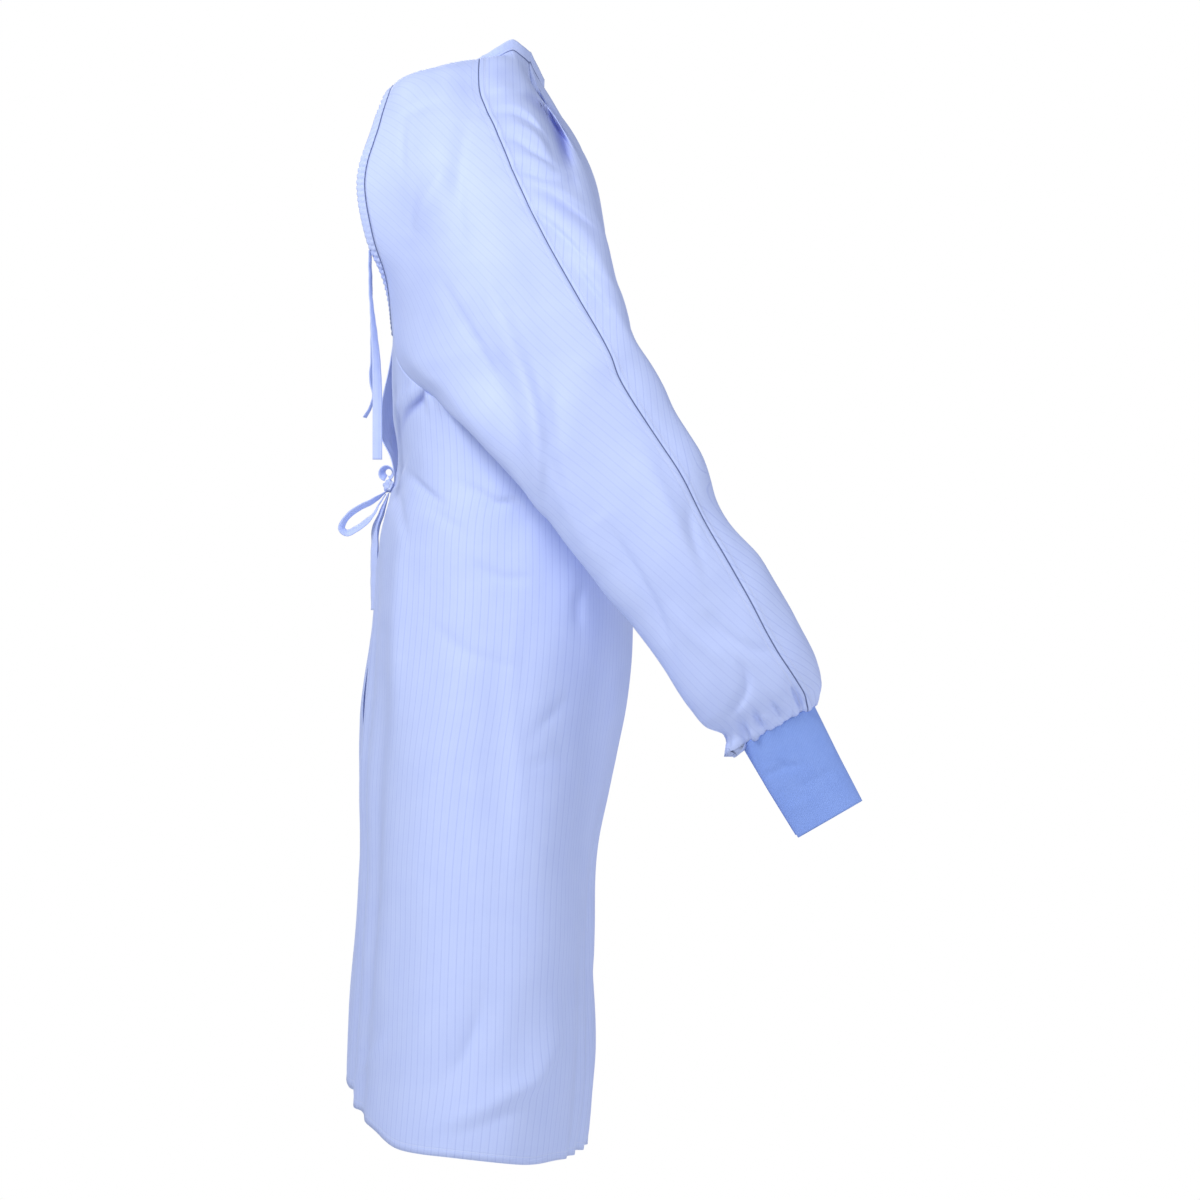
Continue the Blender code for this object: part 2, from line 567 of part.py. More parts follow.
def sleeve_pieces():
    """Back piece, front piece and binding of a sleeve, with air at each seam."""
    back, front, edge = back_raw.copy(), front_raw.copy(), edge_raw.copy()
    back[:, 0] = eased(back_raw[:, 0], back_raw[:, 1], front_raw[:, 1], CLOTH)
    front[:, 0] = eased(front_raw[:, 0], front_raw[:, 1], back_raw[:, 1], CLOTH)
    # raglan seams to the body panel
    back_join = slice(notch_row, armpit_row + 1)
    front_join = slice(0, armpit_row + 1)
    count = len(back_seam)
    back[back_join, -1] = eased(back_raw[back_join, -1], back_raw[back_join, -2],
                                down_body[:count], CLOTH)
    front[front_join, -1] = eased(front_raw[front_join, -1], front_raw[front_join, -2],
                                  down_body[count - 1:seam_columns][::-1], CLOTH)
    # underarm, below the armpit
    low = slice(armpit_row, None)
    below = slice(armpit_row + 1, None)
    back[below, -1] = eased(back_raw[low, -1], back_raw[low, -2], front_raw[low, -2], CLOTH)[1:]
    front[below, -1] = eased(front_raw[low, -1], front_raw[low, -2], back_raw[low, -2], CLOTH)[1:]
    # bound edge
    bound_rows = slice(0, notch_row + 1)
    back[bound_rows, -1] = eased(back_raw[bound_rows, -1], back_raw[bound_rows, -2],
                                 edge_raw[:, -1], BINDING)
    edge[:, 0] = eased(edge_raw[:, 0], edge_raw[:, -1], back_raw[bound_rows, -2], BINDING)
    edge[:, 1] = (edge[:, 0] + edge[:, 2]) / 2
    # neckline
    up = np.array([0, 0, 1.0])
    for piece, thickness in ((back, CLOTH), (front, CLOTH), (edge, BINDING)):
        piece[0] = eased(piece[0], piece[1], piece[0] + up, thickness + SEAM_GAP)
    # the mouth at the cuff
    for piece in (back, front):
        piece[-1] += (piece[-2] - piece[-1]) * MOUTH_SHORT
    # the two corners at the notch and the armpit
    edge[-1] += (edge[-2] - edge[-1]) * CORNER_SHORT
    back[armpit_row, -1] += (back[armpit_row, -2] - back[armpit_row, -1]) * CORNER_SHORT
    front[armpit_row, -1] += (front[armpit_row, -2] - front[armpit_row, -1]) * CORNER_SHORT
    return back, front, edge


def body_piece():
    """The body panel with its upper border moved clear of the sleeves and the band."""
    body = body_raw.copy()
    up = np.array([0, 0, 1.0])
    sleeve_side = np.concatenate([back_raw[notch_row:armpit_row, -2],
                                  front_raw[armpit_row::-1, -2], half_neck + up])
    beyond = split_line(np.concatenate([mirrored(sleeve_side), sleeve_side[-2::-1]]))
    body[-1] = eased(body_raw[-1], body_raw[-2], beyond, CLOTH)
    return body


def neck_band():
    """The standing band along the whole neckline, from one back corner to the other."""
    def half(row):
        return np.concatenate([edge_raw[row, ::-1], back_raw[row, -2::-1], front_raw[row, 1:]])

    foot = np.concatenate([half(0), half_neck])
    below = np.concatenate([half(1), down_body[seam_columns:]])
    head = foot + [0, 0, BAND_HEIGHT]
    head[:, 0] *= BAND_LEAN
    eased_foot = eased(foot, head, below, BAND)
    rows = np.stack([eased_foot, (eased_foot + head) / 2, head])
    return np.concatenate([mirrored(rows), rows[:, -2::-1]], axis=1)


def cuff():
    """The knitted cuff, a closed tube of oval rings."""
    rings = np.stack([oval(section, 0, 360, CUFF_COLUMNS + 1) for section in CUFF])
    rings[0] += (rings[1] - rings[0]) * CUFF_SHORT
    return rings


def tape(name, guides, reference=(1, 0, 0), step=TAPE_STEP):
    """A flat tie along its guide points, with the width turned as the table says."""
    guides = np.array(guides, float)
    at = distances(guides[:, :3])
    count = max(4, round(at[-1] / step))
    line = curve(at, guides, np.linspace(0, at[-1], count + 1))
    centre, turn = line[:, :3], np.radians(line[:, 3:])
    tangent = unit(np.gradient(centre, axis=0))
    across = unit(reference - (tangent @ np.array(reference, float))[:, None] * tangent)
    upright = np.cross(tangent, across)
    side = across * np.cos(turn) + upright * np.sin(turn)
    grid = np.stack([centre + side * TIE_WIDTH * place for place in (-0.5, 0, 0.5)], axis=1)
    return wall(name, grid, TAPE, TAPE_BLUE)


def placed(points, left):
    """Points of the right sleeve on their side, the left cuff swung a little forward."""
    if not left:
        return mirrored(points)
    share = np.clip((SWING_TOP - points[..., 2:]) / SWING_DEPTH, 0, 1)
    return points + np.array(LEFT_SWING) * share


back, front, edge = sleeve_pieces()
for side in ("right", "left"):
    left = side == "left"
    wall("sleeve_back_" + side, placed(back, left), CLOTH, WOVEN_BLUE)
    wall("sleeve_front_" + side, placed(front, left), CLOTH, WOVEN_BLUE)
    wall("edge_binding_" + side, placed(edge, left), BINDING, WOVEN_BLUE)
    wall("cuff_" + side, placed(cuff(), left), KNIT, KNIT_BLUE, 0.9, closed=True)
wall("body_panel", body_piece(), CLOTH, WOVEN_BLUE)
wall("neck_band", neck_band(), BAND, WOVEN_BLUE)

# ---------------------------------------------------------------- waist bow and ties
for name, guides in TIES.items():
    tape(name, guides)

round_eye = np.radians(np.linspace(-75, 255, 12))
tape("bow_eye", [Tape(EYE_CENTRE[0], EYE_CENTRE[1] + EYE_RADIUS * math.cos(a),
                      EYE_CENTRE[2] + EYE_RADIUS * math.sin(a), 0) for a in round_eye],
     step=EYE_STEP)

for side, sign in (("right", -1), ("left", 1)):
    start = body_ring(np.array([WAIST_TIE_ANGLE]), np.array([KNOT[2]]))[0]
    y = start[1] + CLOTH / 2 + TAPE / 2 + WAIST_TIE_LIFT
    lean = -sign * WAIST_SLOPE
    route = [Tape(sign * start[0], y, KNOT[2], lean)]
    route += [Tape(sign * out, y + further, KNOT[2], lean) for out, further in WAIST_TIE]
    route.append(Tape(sign * (KNOT_RADII[0] + SEAM_GAP), KNOT[1], KNOT[2], 0))
    tape("waist_tie_" + side, route, reference=(0, 0, 1))

ball = bmesh.new()
bmesh.ops.create_uvsphere(ball, u_segments=16, v_segments=10, radius=1)
for vert in ball.verts:
    vert.co = [(KNOT[axis] + vert.co[axis] * KNOT_RADII[axis]) * MM for axis in range(3)]
knot_mesh = bpy.data.meshes.new("waist_knot")
ball.to_mesh(knot_mesh)
ball.free()
knot_mesh.shade_smooth()
knot_mesh.materials.append(cloth_material("waist_knot", TAPE_BLUE, 0.7))
gown.objects.link(bpy.data.objects.new("waist_knot", knot_mesh))
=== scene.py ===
"""Open-back gown, hollow and in the pose in which it is worn, seen from its right side.

The cloth is laid as thin shells on the form of the frame's solids, with its seams, creases,
pinstripes and gathers. Metres, +Z up, with the front towards -Y. The tables are in millimetres.
"""
import math
from collections import namedtuple

import bmesh
import bpy
import numpy as np
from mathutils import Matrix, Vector


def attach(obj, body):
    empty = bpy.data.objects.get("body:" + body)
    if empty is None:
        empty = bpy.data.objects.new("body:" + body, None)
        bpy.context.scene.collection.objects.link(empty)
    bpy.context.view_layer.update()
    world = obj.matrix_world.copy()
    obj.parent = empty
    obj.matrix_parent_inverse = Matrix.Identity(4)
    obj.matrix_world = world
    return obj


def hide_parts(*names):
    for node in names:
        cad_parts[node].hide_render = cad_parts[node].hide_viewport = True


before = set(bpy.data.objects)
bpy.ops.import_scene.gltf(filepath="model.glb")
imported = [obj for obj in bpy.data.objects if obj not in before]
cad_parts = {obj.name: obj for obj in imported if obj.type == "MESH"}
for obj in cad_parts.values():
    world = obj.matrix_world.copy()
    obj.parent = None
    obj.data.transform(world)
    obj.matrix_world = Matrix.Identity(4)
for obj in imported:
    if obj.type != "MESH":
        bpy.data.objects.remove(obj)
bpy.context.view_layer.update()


# ---------------------------------------------------------------- the woven cloth
# Light blue polyester in a fine plain weave, with a darker carbon thread every few
# millimetres of its width. It has a soft sheen, and lock stitching follows its seams.
MM = 0.001
STRIPE_PITCH = 8.2 * MM
STRIPE_WIDTH = 0.6 * MM
THREAD_PITCH = 0.55 * MM
CLOTH_LIGHT = (0.605, 0.695, 0.99)
CLOTH_DARK = (0.56, 0.65, 0.975)
STRIPE_COLOUR = (0.36, 0.44, 0.82)
STITCH_COLOUR = (0.66, 0.73, 0.98)
# Painted shade in the crack of each seam: the colour and width of a thin dark line along it.
SEAM_SHADE_COLOUR = (0.06, 0.09, 0.26)
SEAM_SHADE_WIDTH = 0.45 * MM
# Painted shade deep in the folds: this dark blue is mixed into the cloth by how far a fold sinks
# it, fully at the depth below.
PAINTED_FOLD_SHADE = (0.13, 0.17, 0.58)   # the cloth deep in a fold, lit only by itself
FOLD_SHADE_FULL = 18 * MM
STITCH_AT = 6.0        # mm from the seam or the border to its row of stitches
STITCH_LENGTH = 2.8 * MM
STITCH_WIDTH = 0.45 * MM
SOFT_EDGE = 0.5 * MM   # over which a pinstripe fades into the cloth beside it


class Wire:
    """A socket of a node tree, with arithmetic that adds Math nodes."""

    def __init__(self, tree, socket):
        self.tree, self.socket = tree, socket

    def math(self, operation, *others):
        node = self.tree.nodes.new("ShaderNodeMath")
        node.operation = operation
        for place, value in enumerate((self, *others)):
            if isinstance(value, Wire):
                self.tree.links.new(value.socket, node.inputs[place])
            else:
                node.inputs[place].default_value = value
        return Wire(self.tree, node.outputs[0])

    def __add__(self, other):
        return self.math("ADD", other)

    __radd__ = __add__

    def __mul__(self, other):
        return self.math("MULTIPLY", other)

    __rmul__ = __mul__

    def __sub__(self, other):
        return self.math("SUBTRACT", other)

    def __rsub__(self, other):
        return (self * -1).math("ADD", other)

    def __truediv__(self, other):
        return self.math("DIVIDE", other)

    def wave(self, pitch):
        """A smooth wave from 0 to 1 that repeats at each pitch."""
        return (self * (2 * math.pi / pitch)).math("COSINE") * 0.5 + 0.5

    def pulse(self, pitch, width, soft):
        """1 within half a width of each multiple of the pitch, 0 away from it."""
        away = (self / pitch + 0.5).math("FRACT") - 0.5
        return 1 - ((away.math("ABSOLUTE") * pitch - width / 2) / soft).clip()

    def near(self, value, width, soft):
        """1 within half a width of the value, 0 away from it."""
        return 1 - (((self - value).math("ABSOLUTE") - width / 2) / soft).clip()

    def clip(self):
        return self.math("MAXIMUM", 0.0).math("MINIMUM", 1.0)


class Finish:
    """The look of a material or of the world: its shader and the nodes that feed it."""

    def __init__(self, owner, shader="Principled BSDF", **plain):
        owner.use_nodes = True
        self.tree = owner.node_tree
        self.shader = self.tree.nodes[shader]
        for socket, value in plain.items():
            self.shader.inputs[socket.replace("_", " ")].default_value = value

    def node(self, kind, settings=None, **sockets):
        """Add a node, set its settings first, then the values or links of its sockets."""
        node = self.tree.nodes.new(kind)
        for setting, value in (settings or {}).items():
            setattr(node, setting, value)
        for socket, value in sockets.items():
            target = node.inputs[socket.replace("_", " ")]
            if isinstance(value, Wire):
                self.tree.links.new(value.socket, target)
            else:
                target.default_value = value
        return node

    def out(self, node, socket=0):
        return Wire(self.tree, node.outputs[socket])

    def map(self, layer):
        """The two coordinates of a UV layer, in metres of cloth."""
        uv = self.node("ShaderNodeUVMap", {"uv_map": layer})
        parts = self.node("ShaderNodeSeparateXYZ", Vector=self.out(uv))
        return self.out(parts, 0), self.out(parts, 1), self.out(uv)

    def noise(self, vector, scale, detail):
        return self.out(self.node("ShaderNodeTexNoise", Vector=vector, Scale=scale, Detail=detail))

    def mix(self, share, first, second):
        node = self.node("ShaderNodeMix", {"data_type": "RGBA"})
        for place, value in ((0, share), (6, first), (7, second)):
            if isinstance(value, Wire):
                self.tree.links.new(value.socket, node.inputs[place])
            elif isinstance(value, tuple):
                node.inputs[place].default_value = (*value, 1)
            else:
                node.inputs[place].default_value = value
        return Wire(self.tree, node.outputs[2])

    def feed(self, socket, wire):
        self.tree.links.new(wire.socket, self.shader.inputs[socket])

    def relief(self, height, distance, strength):
        bump = self.node("ShaderNodeBump", Height=height, Distance=distance, Strength=strength)
        self.feed("Normal", self.out(bump))


def woven(name, stripes=1.0):
    """The gown's cloth: weave, pinstripes and a stitched row beside each seam."""
    material = bpy.data.materials.new(name)
    cloth = Finish(material, Roughness=0.55, Sheen_Weight=0.12, Sheen_Roughness=0.5,
                   Sheen_Tint=(0.8, 0.86, 1.0, 1), Specular_IOR_Level=0.25)
    across, along, spot = cloth.map("cut")
    from_seam, by_seam, _ = cloth.map("seam")
    uneven = cloth.noise(spot, 28.0, 3.0)
    fine = cloth.noise(spot, 900.0, 2.0)
    weft = along.wave(THREAD_PITCH)
    warp = across.wave(THREAD_PITCH)
    base = cloth.mix((uneven * 1.4 - 0.35 + fine * 0.3).clip(), CLOTH_DARK, CLOTH_LIGHT)
    thread = across.pulse(STRIPE_PITCH, STRIPE_WIDTH, SOFT_EDGE)
    second = (across + STRIPE_PITCH / 2).pulse(STRIPE_PITCH, STRIPE_WIDTH / 2, SOFT_EDGE)
    broken = cloth.noise(spot, 160.0, 2.0)
    lines = (thread * 0.34 + second * 0.07) * (0.45 + broken) * stripes
    colour = cloth.mix(lines.clip(), base, STRIPE_COLOUR)
    row = from_seam.near(STITCH_AT * MM, STITCH_WIDTH, 0.3 * MM)
    dash = by_seam.pulse(STITCH_LENGTH, STITCH_LENGTH * 0.72, 0.2 * MM)
    colour = cloth.mix(row * dash * 0.8, colour, STITCH_COLOUR)
    furrow = from_seam.near(STITCH_AT * MM, 1.2 * MM, 1.2 * MM)
    height = weft * 0.25 + warp * 0.25 + fine * 0.3 - furrow * 2.2 + row * dash * 1.6
    from_border, fold_shade_depth, _ = cloth.map("border")
    # painted shade deep in the folds, by how far the folds sink the cloth
    colour = cloth.mix((fold_shade_depth / FOLD_SHADE_FULL).clip() * 0.8, colour, PAINTED_FOLD_SHADE)
    # painted shade in the crack of each seam, as a thin dark line
    colour = cloth.mix(from_border.near(0, 2 * SEAM_SHADE_WIDTH, 0.4 * MM) * 0.85, colour, SEAM_SHADE_COLOUR)
    cloth.feed("Base Color", colour)
    cloth.feed("Roughness", 0.5 + uneven * 0.12 + fine * 0.06)
    cloth.relief(height, 0.12 * MM, 0.6)
    return material


striped_cloth = woven("striped_cloth")
bias_cloth = woven("bias_cloth", stripes=0.6)
plain_binding = woven("binding_cloth", stripes=0.15)


# ---------------------------------------------------------------- the cut of the sleeves
# Each raglan sleeve runs from the neckline to the knitted cuff in two pieces, which meet in
# a seam over the arm. The tables give its sections, and the same points carry the solids.

# Sections of the sleeve over the shoulder, each from the back edge over the arm to the
# front raglan seam: eight guide points (out, y, z), and the width of the bound edge.
Yoke = namedtuple("Yoke", "edge back side seam front inner low raglan bound")
YOKE = [
    Yoke((94, 91, -14), (92, 62, -9), (87, 36, -3), (82, 10, 7),
         (80, -9, 19), (75, -22, 25), (66, -33, 18), (55, -40, 12), 10),
    Yoke((101, 98, -19), (108, 66, 3), (110, 36, 12), (106, 10, 15),
         (102, -12, 17), (97, -27, 11), (84, -37, 1), (63, -43, -7), 10),
    Yoke((114, 107, -30), (129, 78, -9), (145, 44, -5), (147, 10, -15),
         (143, -14, -14), (132, -34, -16), (110, -49, -22), (75, -48, -25), 10),
    Yoke((124, 113, -43), (143, 85, -30), (168, 45, -27), (171, 4, -34),
         (168, -24, -34), (152, -46, -36), (127, -64, -42), (93, -61, -44), 10),
    Yoke((134, 118, -58), (154, 91, -51), (188, 44, -48), (192, -5, -54),
         (188, -34, -56), (170, -60, -60), (144, -77, -64), (112, -76, -64), 10),
    Yoke((149, 132, -110), (170, 104, -108), (226, 42, -106), (230, -29, -111),
         (228, -64, -117), (210, -92, -120), (180, -102, -119), (148, -89, -117), 10),
    Yoke((142, 121, -170), (166, 93, -172), (246, 20, -168), (252, -58, -170),
         (252, -98, -168), (228, -116, -170), (198, -113, -170), (170, -91, -168), 10),
    Yoke((111, 100, -231), (153, 89, -232), (258, 5, -222), (264, -85, -218),
         (262, -116, -205), (236, -127, -209), (206, -110, -222), (184, -72, -222), 5),
    Yoke((92, 99, -262), (150, 91, -262), (262, -5, -246), (268, -93, -232),
         (264, -121, -219), (234, -132, -224), (208, -101, -248), (192, -40, -262), 3),
    Yoke((122, 86, -293), (185, 76, -290), (267, -20, -268), (270, -102, -247),
         (264, -127, -234), (230, -136, -240), (209, -62, -282), (198, 0, -297), 0),
    Yoke((172, 58, -322), (214, 50, -318), (270, -38, -292), (273, -113, -266),
         (262, -134, -250), (226, -139, -258), (209, 8, -316), (172, 58, -322), 0),
    Yoke((207, 32, -347), (240, 27, -347), (276, -50, -315), (276, -122, -284),
         (257, -144, -268), (217, -141, -281), (207, -40, -337), (207, 32, -347), 0),
]
EDGE_POINT, SEAM_POINT, INNER_POINT, RAGLAN_POINT = 0, 3, 5, 7
NOTCH = 8              # yoke section where the bound edge ends and the back seam starts
ARMPIT = 10            # yoke section where the back and front seams meet
INNER_FROM, INNER_TO = 5, 13  # between these sections the inner side stands off the body

# Oval sections of the sleeve below the armpit: centre, half widths in and across the side
# view, lean of the section in degrees, and where along its width the overarm seam lies.
Arm = namedtuple("Arm", "out y z wide thick lean seam")
ARM = [
    Arm(240, -80, -335, 92, 46, 30, 0.63),
    Arm(243, -110, -377, 84, 46, 30, 0.65),
    Arm(246, -142, -422, 81, 47, 31, 0.65),
    Arm(248, -178, -486, 72, 47, 30, 0.70),
    Arm(245, -219, -537, 70, 45, 30, 0.58),
    Arm(237, -260, -599, 69, 43, 33, 0.50),
    Arm(233, -272, -623, 63, 38, 28, 0.60),
    Arm(231, -281, -634, 54, 30, 26, 0.66),
    Arm(229, -287, -649, 40, 20, 29, 0.80),
]
UNDERARM = 215         # angle of the underarm seam on the oval sections
INNER_ANGLE = -48      # angle where the front piece turns to its inner side
CUFF = [
    Arm(229, -287, -649, 40, 20, 29, 0),
    Arm(227, -300, -673, 39, 18, 29, 0),
    Arm(225, -313, -697, 38, 17, 30, 0),
    Arm(223, -326, -720, 37, 16, 30, 0),
    Arm(222, -339, -743, 36, 16, 30, 0),
]
LEFT_SWING = (0, 0.5, 0)   # how far the left cuff lies from the right one's mirror image
SWING_TOP, SWING_DEPTH = -400.0, 250.0    # height where that starts, and over which it grows
CLOTH, BINDING = 0.9, 1.6  # thickness, with the turned edges
SEAM_GAP = 0.3         # air between two pieces, before the fine cloth is drawn together
ROW_STEP = 24.0        # from one row of points to the next down the sleeve
BACK_COLUMNS, FACE_COLUMNS, INSIDE_COLUMNS = 9, 5, 6
SLEEVE_CLEAR = 8.0     # how far the inner side of a sleeve stands off the body
MOUTH_SHORT = 0.05     # share of its last row by which a sleeve's mouth stops short
CORNER_SHORT = 0.04    # and of a cell by which a corner between three pieces stays back


def curve(knots, values, at):
    """Smooth curve that meets values[k] at knots[k], read at the places `at`."""
    knots, values = np.asarray(knots, float), np.asarray(values, float)
    at = np.clip(np.asarray(at, float), knots[0], knots[-1])
    step = np.diff(knots)
    shape = (-1,) + (1,) * (values.ndim - 1)
    rise = np.diff(values, axis=0) / step.reshape(shape)
    before, after = step[:-1].reshape(shape), step[1:].reshape(shape)
    inside = (rise[:-1] * after + rise[1:] * before) / (before + after)
    slope = np.concatenate([rise[:1], inside, rise[-1:]])
    k = np.clip(np.searchsorted(knots, at, side="right") - 1, 0, len(step) - 1)
    width = step[k].reshape(shape)
    t = ((at - knots[k]) / step[k]).reshape(shape)
    return (values[k] * (1 + 2 * t) * (1 - t) ** 2 + slope[k] * width * t * (1 - t) ** 2
            + values[k + 1] * t ** 2 * (3 - 2 * t) + slope[k + 1] * width * t ** 2 * (t - 1))


def distances(points):
    """Distance along a line of points, starting at zero."""
    steps = np.linalg.norm(np.diff(points, axis=0), axis=1)
    return np.concatenate([[0], np.cumsum(steps)])


def stretch(line, start, stop, count):
    """Evenly spaced points along a line, from one distance along it to another."""
    at = distances(line)
    places = np.linspace(start, stop, count)
    return np.stack([np.interp(places, at, line[:, axis]) for axis in range(3)], axis=1)


def mirrored(points):
    """The same points on the other side of the gown."""
    return points * np.array([-1, 1, 1])


def oval(section, start, stop, count):
    """Points of an oval arm section between two angles, outer side at 90 degrees."""
    angle = np.radians(np.linspace(start, stop, count))
    lean = math.radians(section.lean)
    along = section.wide * np.cos(angle)
    return np.stack([section.out + section.thick * np.sin(angle),
                     section.y - along * math.cos(lean),
                     section.z + along * math.sin(lean)], axis=1)


DENSE = 81             # points of a line from which the columns are taken


def sleeve_lines():
    """Each section as dense lines: overarm seam to back, to inner guide, and on to the front."""
    back, face, inside = [], [], []
    for row in YOKE:
        guides = np.array(row[:RAGLAN_POINT + 1], float)
        at = distances(guides)
        for lines, start, stop in ((back, SEAM_POINT, EDGE_POINT), (face, SEAM_POINT, INNER_POINT),
                                   (inside, INNER_POINT, RAGLAN_POINT)):
            lines.append(curve(at, guides, np.linspace(at[start], at[stop], DENSE)))
    for section in ARM:
        seam = math.degrees(math.acos(section.seam))
        back.append(oval(section, seam, UNDERARM, DENSE))
        face.append(oval(section, seam, INNER_ANGLE, DENSE))
        inside.append(oval(section, INNER_ANGLE, UNDERARM - 360, DENSE))
    return back, face, inside


def evenly(line, columns, short=0.0):
    """Evenly spaced points along a line, ending a little short of its end or at it."""
    return stretch(line, 0, distances(line)[-1] - short, columns + 1)


back_lines, face_lines, inside_lines = sleeve_lines()
middle_points = np.stack([(b[DENSE // 2] + f[0] + f[-1]) / 3
                          for b, f in zip(back_lines, face_lines)])
STATIONS = distances(middle_points)
places = [STATIONS[0]]
row_of_station = [0]
for number, (first, last) in enumerate(zip(STATIONS, STATIONS[1:])):
    parts = max(2 if NOTCH <= number < ARMPIT else 1, round((last - first) / ROW_STEP))
    places.extend(first + (last - first) * (i + 1) / parts for i in range(parts))
    row_of_station.append(len(places) - 1)
places = np.array(places)
notch_row, armpit_row = row_of_station[NOTCH], row_of_station[ARMPIT]
bound = [row.bound for row in YOKE] + [0] * len(ARM)


def along_arm(station_rows):
    """Rows at every place along the arm, on smooth lines through the stations."""
    return curve(STATIONS, np.stack(station_rows), places)


back_raw = along_arm([evenly(line, BACK_COLUMNS, width)
                      for line, width in zip(back_lines, bound)])
edge_raw = along_arm([stretch(line, distances(line)[-1] - width, distances(line)[-1], 3)
                      for line, width in zip(back_lines, bound)])[:notch_row + 1]
face_raw = along_arm([evenly(line, FACE_COLUMNS) for line in face_lines])
inside_raw = along_arm([evenly(line, INSIDE_COLUMNS) for line in inside_lines])
front_raw = np.concatenate([face_raw, inside_raw[:, 1:]], axis=1)


def placed(points, left):
    """Points of the left sleeve, with its cuff swung a little, or mirrored to the right."""
    if not left:
        return mirrored(points)
    share = np.clip((SWING_TOP - points[..., 2:]) / SWING_DEPTH, 0, 1)
    return points + np.array(LEFT_SWING) * share


# ---------------------------------------------------------------- the cut of the body
# One panel wraps round the front and both sides, and its two free edges meet at the back,
# where only the waist ties close them. Its upper border follows the raglan seams.

# Horizontal sections of the body panel, a rounded oblong at each height.
Ring = namedtuple("Ring", "z front back half square")
BODY = [
    Ring(-1100, -95, 151, 274, 2.2),
    Ring(-1000, -106, 145, 264, 2.2),
    Ring(-880, -104, 137, 250, 2.3),
    Ring(-785, -107, 131, 238, 2.3),
    Ring(-692, -123, 129, 225, 2.4),
    Ring(-609, -139, 122, 215, 2.4),
    Ring(-525, -142, 113, 205, 2.5),
    Ring(-440, -138, 105, 196, 2.6),
    Ring(-402, -134, 92, 191, 2.7),
    Ring(-360, -131, 93, 190, 2.8),
    Ring(-322, -128, 97, 193, 2.8),
    Ring(-262, -123, 99, 200, 2.9),
    Ring(-168, -115, 99, 200, 3.0),
    Ring(-117, -108, 99, 190, 2.8),
    Ring(-65, -88, 99, 165, 2.6),
    Ring(-45, -75, 98, 143, 2.5),
    Ring(-25, -61, 93, 118, 2.4),
    Ring(-15, -54, 90, 111, 2.4),
    Ring(12, -46, 80, 105, 2.4),
]

# Height of the hem at each angle round the body, from the middle of the back (0) to the front.
Hem = namedtuple("Hem", "angle z")
HEM = [
    Hem(0, -993), Hem(25, -999), Hem(38, -1013), Hem(48, -1032), Hem(58, -1047),
    Hem(66, -1060), Hem(74, -1073), Hem(90, -1083), Hem(112, -1089), Hem(150, -1078),
    Hem(180, -1071),
]

# Angle of the free back edges, and how far the left one stands behind the right one.
BackEdge = namedtuple("BackEdge", "z angle left_push")
BACK_EDGE = [
    BackEdge(-1100, 6, 0), BackEdge(-700, 5, 0), BackEdge(-640, 5, 5), BackEdge(-560, 5, 0),
    BackEdge(-430, 5, 0), BackEdge(-402, 5, 0), BackEdge(-390, 6, 1),
    BackEdge(-370, 11, 10), BackEdge(-335, 19, 14),
    BackEdge(-300, 30, 12), BackEdge(-262, 41, 0),
]

PUSH_ANGLE = 60        # the left edge's push fades out at this angle
PUSH_FADE = 40         # and over this height below the seam
NECK_SIDE, NECK_FRONT = (30, -49, -2), (0, -53, -15)   # guide points of the neckline
BODY_ROWS, NECK_COLUMNS = 24, 8
SIDE_COLUMN = 26.0     # widest column of the panel


def ring_sizes(z):
    """Middle, depth, half width and squareness of the body's section at each height."""
    front, back, half, square = curve([r.z for r in BODY], [r[1:] for r in BODY], z).T
    return (front + back) / 2, (back - front) / 2, half, square


def ring_radius(angle, z):
    middle, deep, half, square = ring_sizes(z)
    sine, cosine = np.abs(np.sin(np.radians(angle))), np.abs(np.cos(np.radians(angle)))
    return ((sine / half) ** square + (cosine / deep) ** square) ** (-1 / square)


def body_ring(angle, z):
    """Points of the body at angles in degrees, 0 at the back and 90 at the side."""
    radius, middle = ring_radius(angle, z), ring_sizes(z)[0]
    return np.stack([radius * np.sin(np.radians(angle)),
                     middle + radius * np.cos(np.radians(angle)), z], axis=-1)


def ring_angle(points):
    """Angle of points round the body's section at their height."""
    return np.degrees(np.arctan2(points[..., 0], points[..., 1] - ring_sizes(points[..., 2])[0]))


def on_body(points):
    """The points of the body panel at the same angle and height."""
    return body_ring(ring_angle(points), points[..., 2])


def settle_on_body(grid, rows):
    """Move a sleeve's last column onto the body panel, and its neighbours part of the way."""
    shift = on_body(grid[rows, -1]) - grid[rows, -1]
    for column, share in ((-1, 1.0), (-2, 0.6), (-3, 0.3)):
        grid[rows, column] += shift * share


def stand_off(grid, rows, columns):
    """Keep the inner side of a sleeve outside the body panel, more so away from the seam."""
    for column in columns:
        points = grid[rows, column]
        middle = ring_sizes(points[:, 2])[0]
        angle = ring_angle(points)
        away = np.linalg.norm(points - grid[rows, -1], axis=1)
        least = ring_radius(angle, points[:, 2]) + np.minimum(SLEEVE_CLEAR, 0.4 * away)
        radius = np.maximum(np.hypot(points[:, 0], points[:, 1] - middle), least)
        points[:, 0] = radius * np.sin(np.radians(angle))
        points[:, 1] = middle + radius * np.cos(np.radians(angle))


settle_on_body(front_raw, slice(0, armpit_row + 1))
settle_on_body(back_raw, slice(notch_row, armpit_row + 1))
back_raw[armpit_row, -1] = front_raw[armpit_row, -1]
edge_raw[-1, -1] += back_raw[notch_row, -1] - edge_raw[-1, 0]
edge_raw[-1, 0] = back_raw[notch_row, -1]
inner_end = row_of_station[INNER_TO]
stand_off(front_raw, slice(row_of_station[INNER_FROM], inner_end), range(-INSIDE_COLUMNS, -1))
stand_off(back_raw, slice(armpit_row + 1, inner_end), (-3, -2))


def back_edge_angle(z):
    return curve([e.z for e in BACK_EDGE], [[e.angle] for e in BACK_EDGE], z)[:, 0]


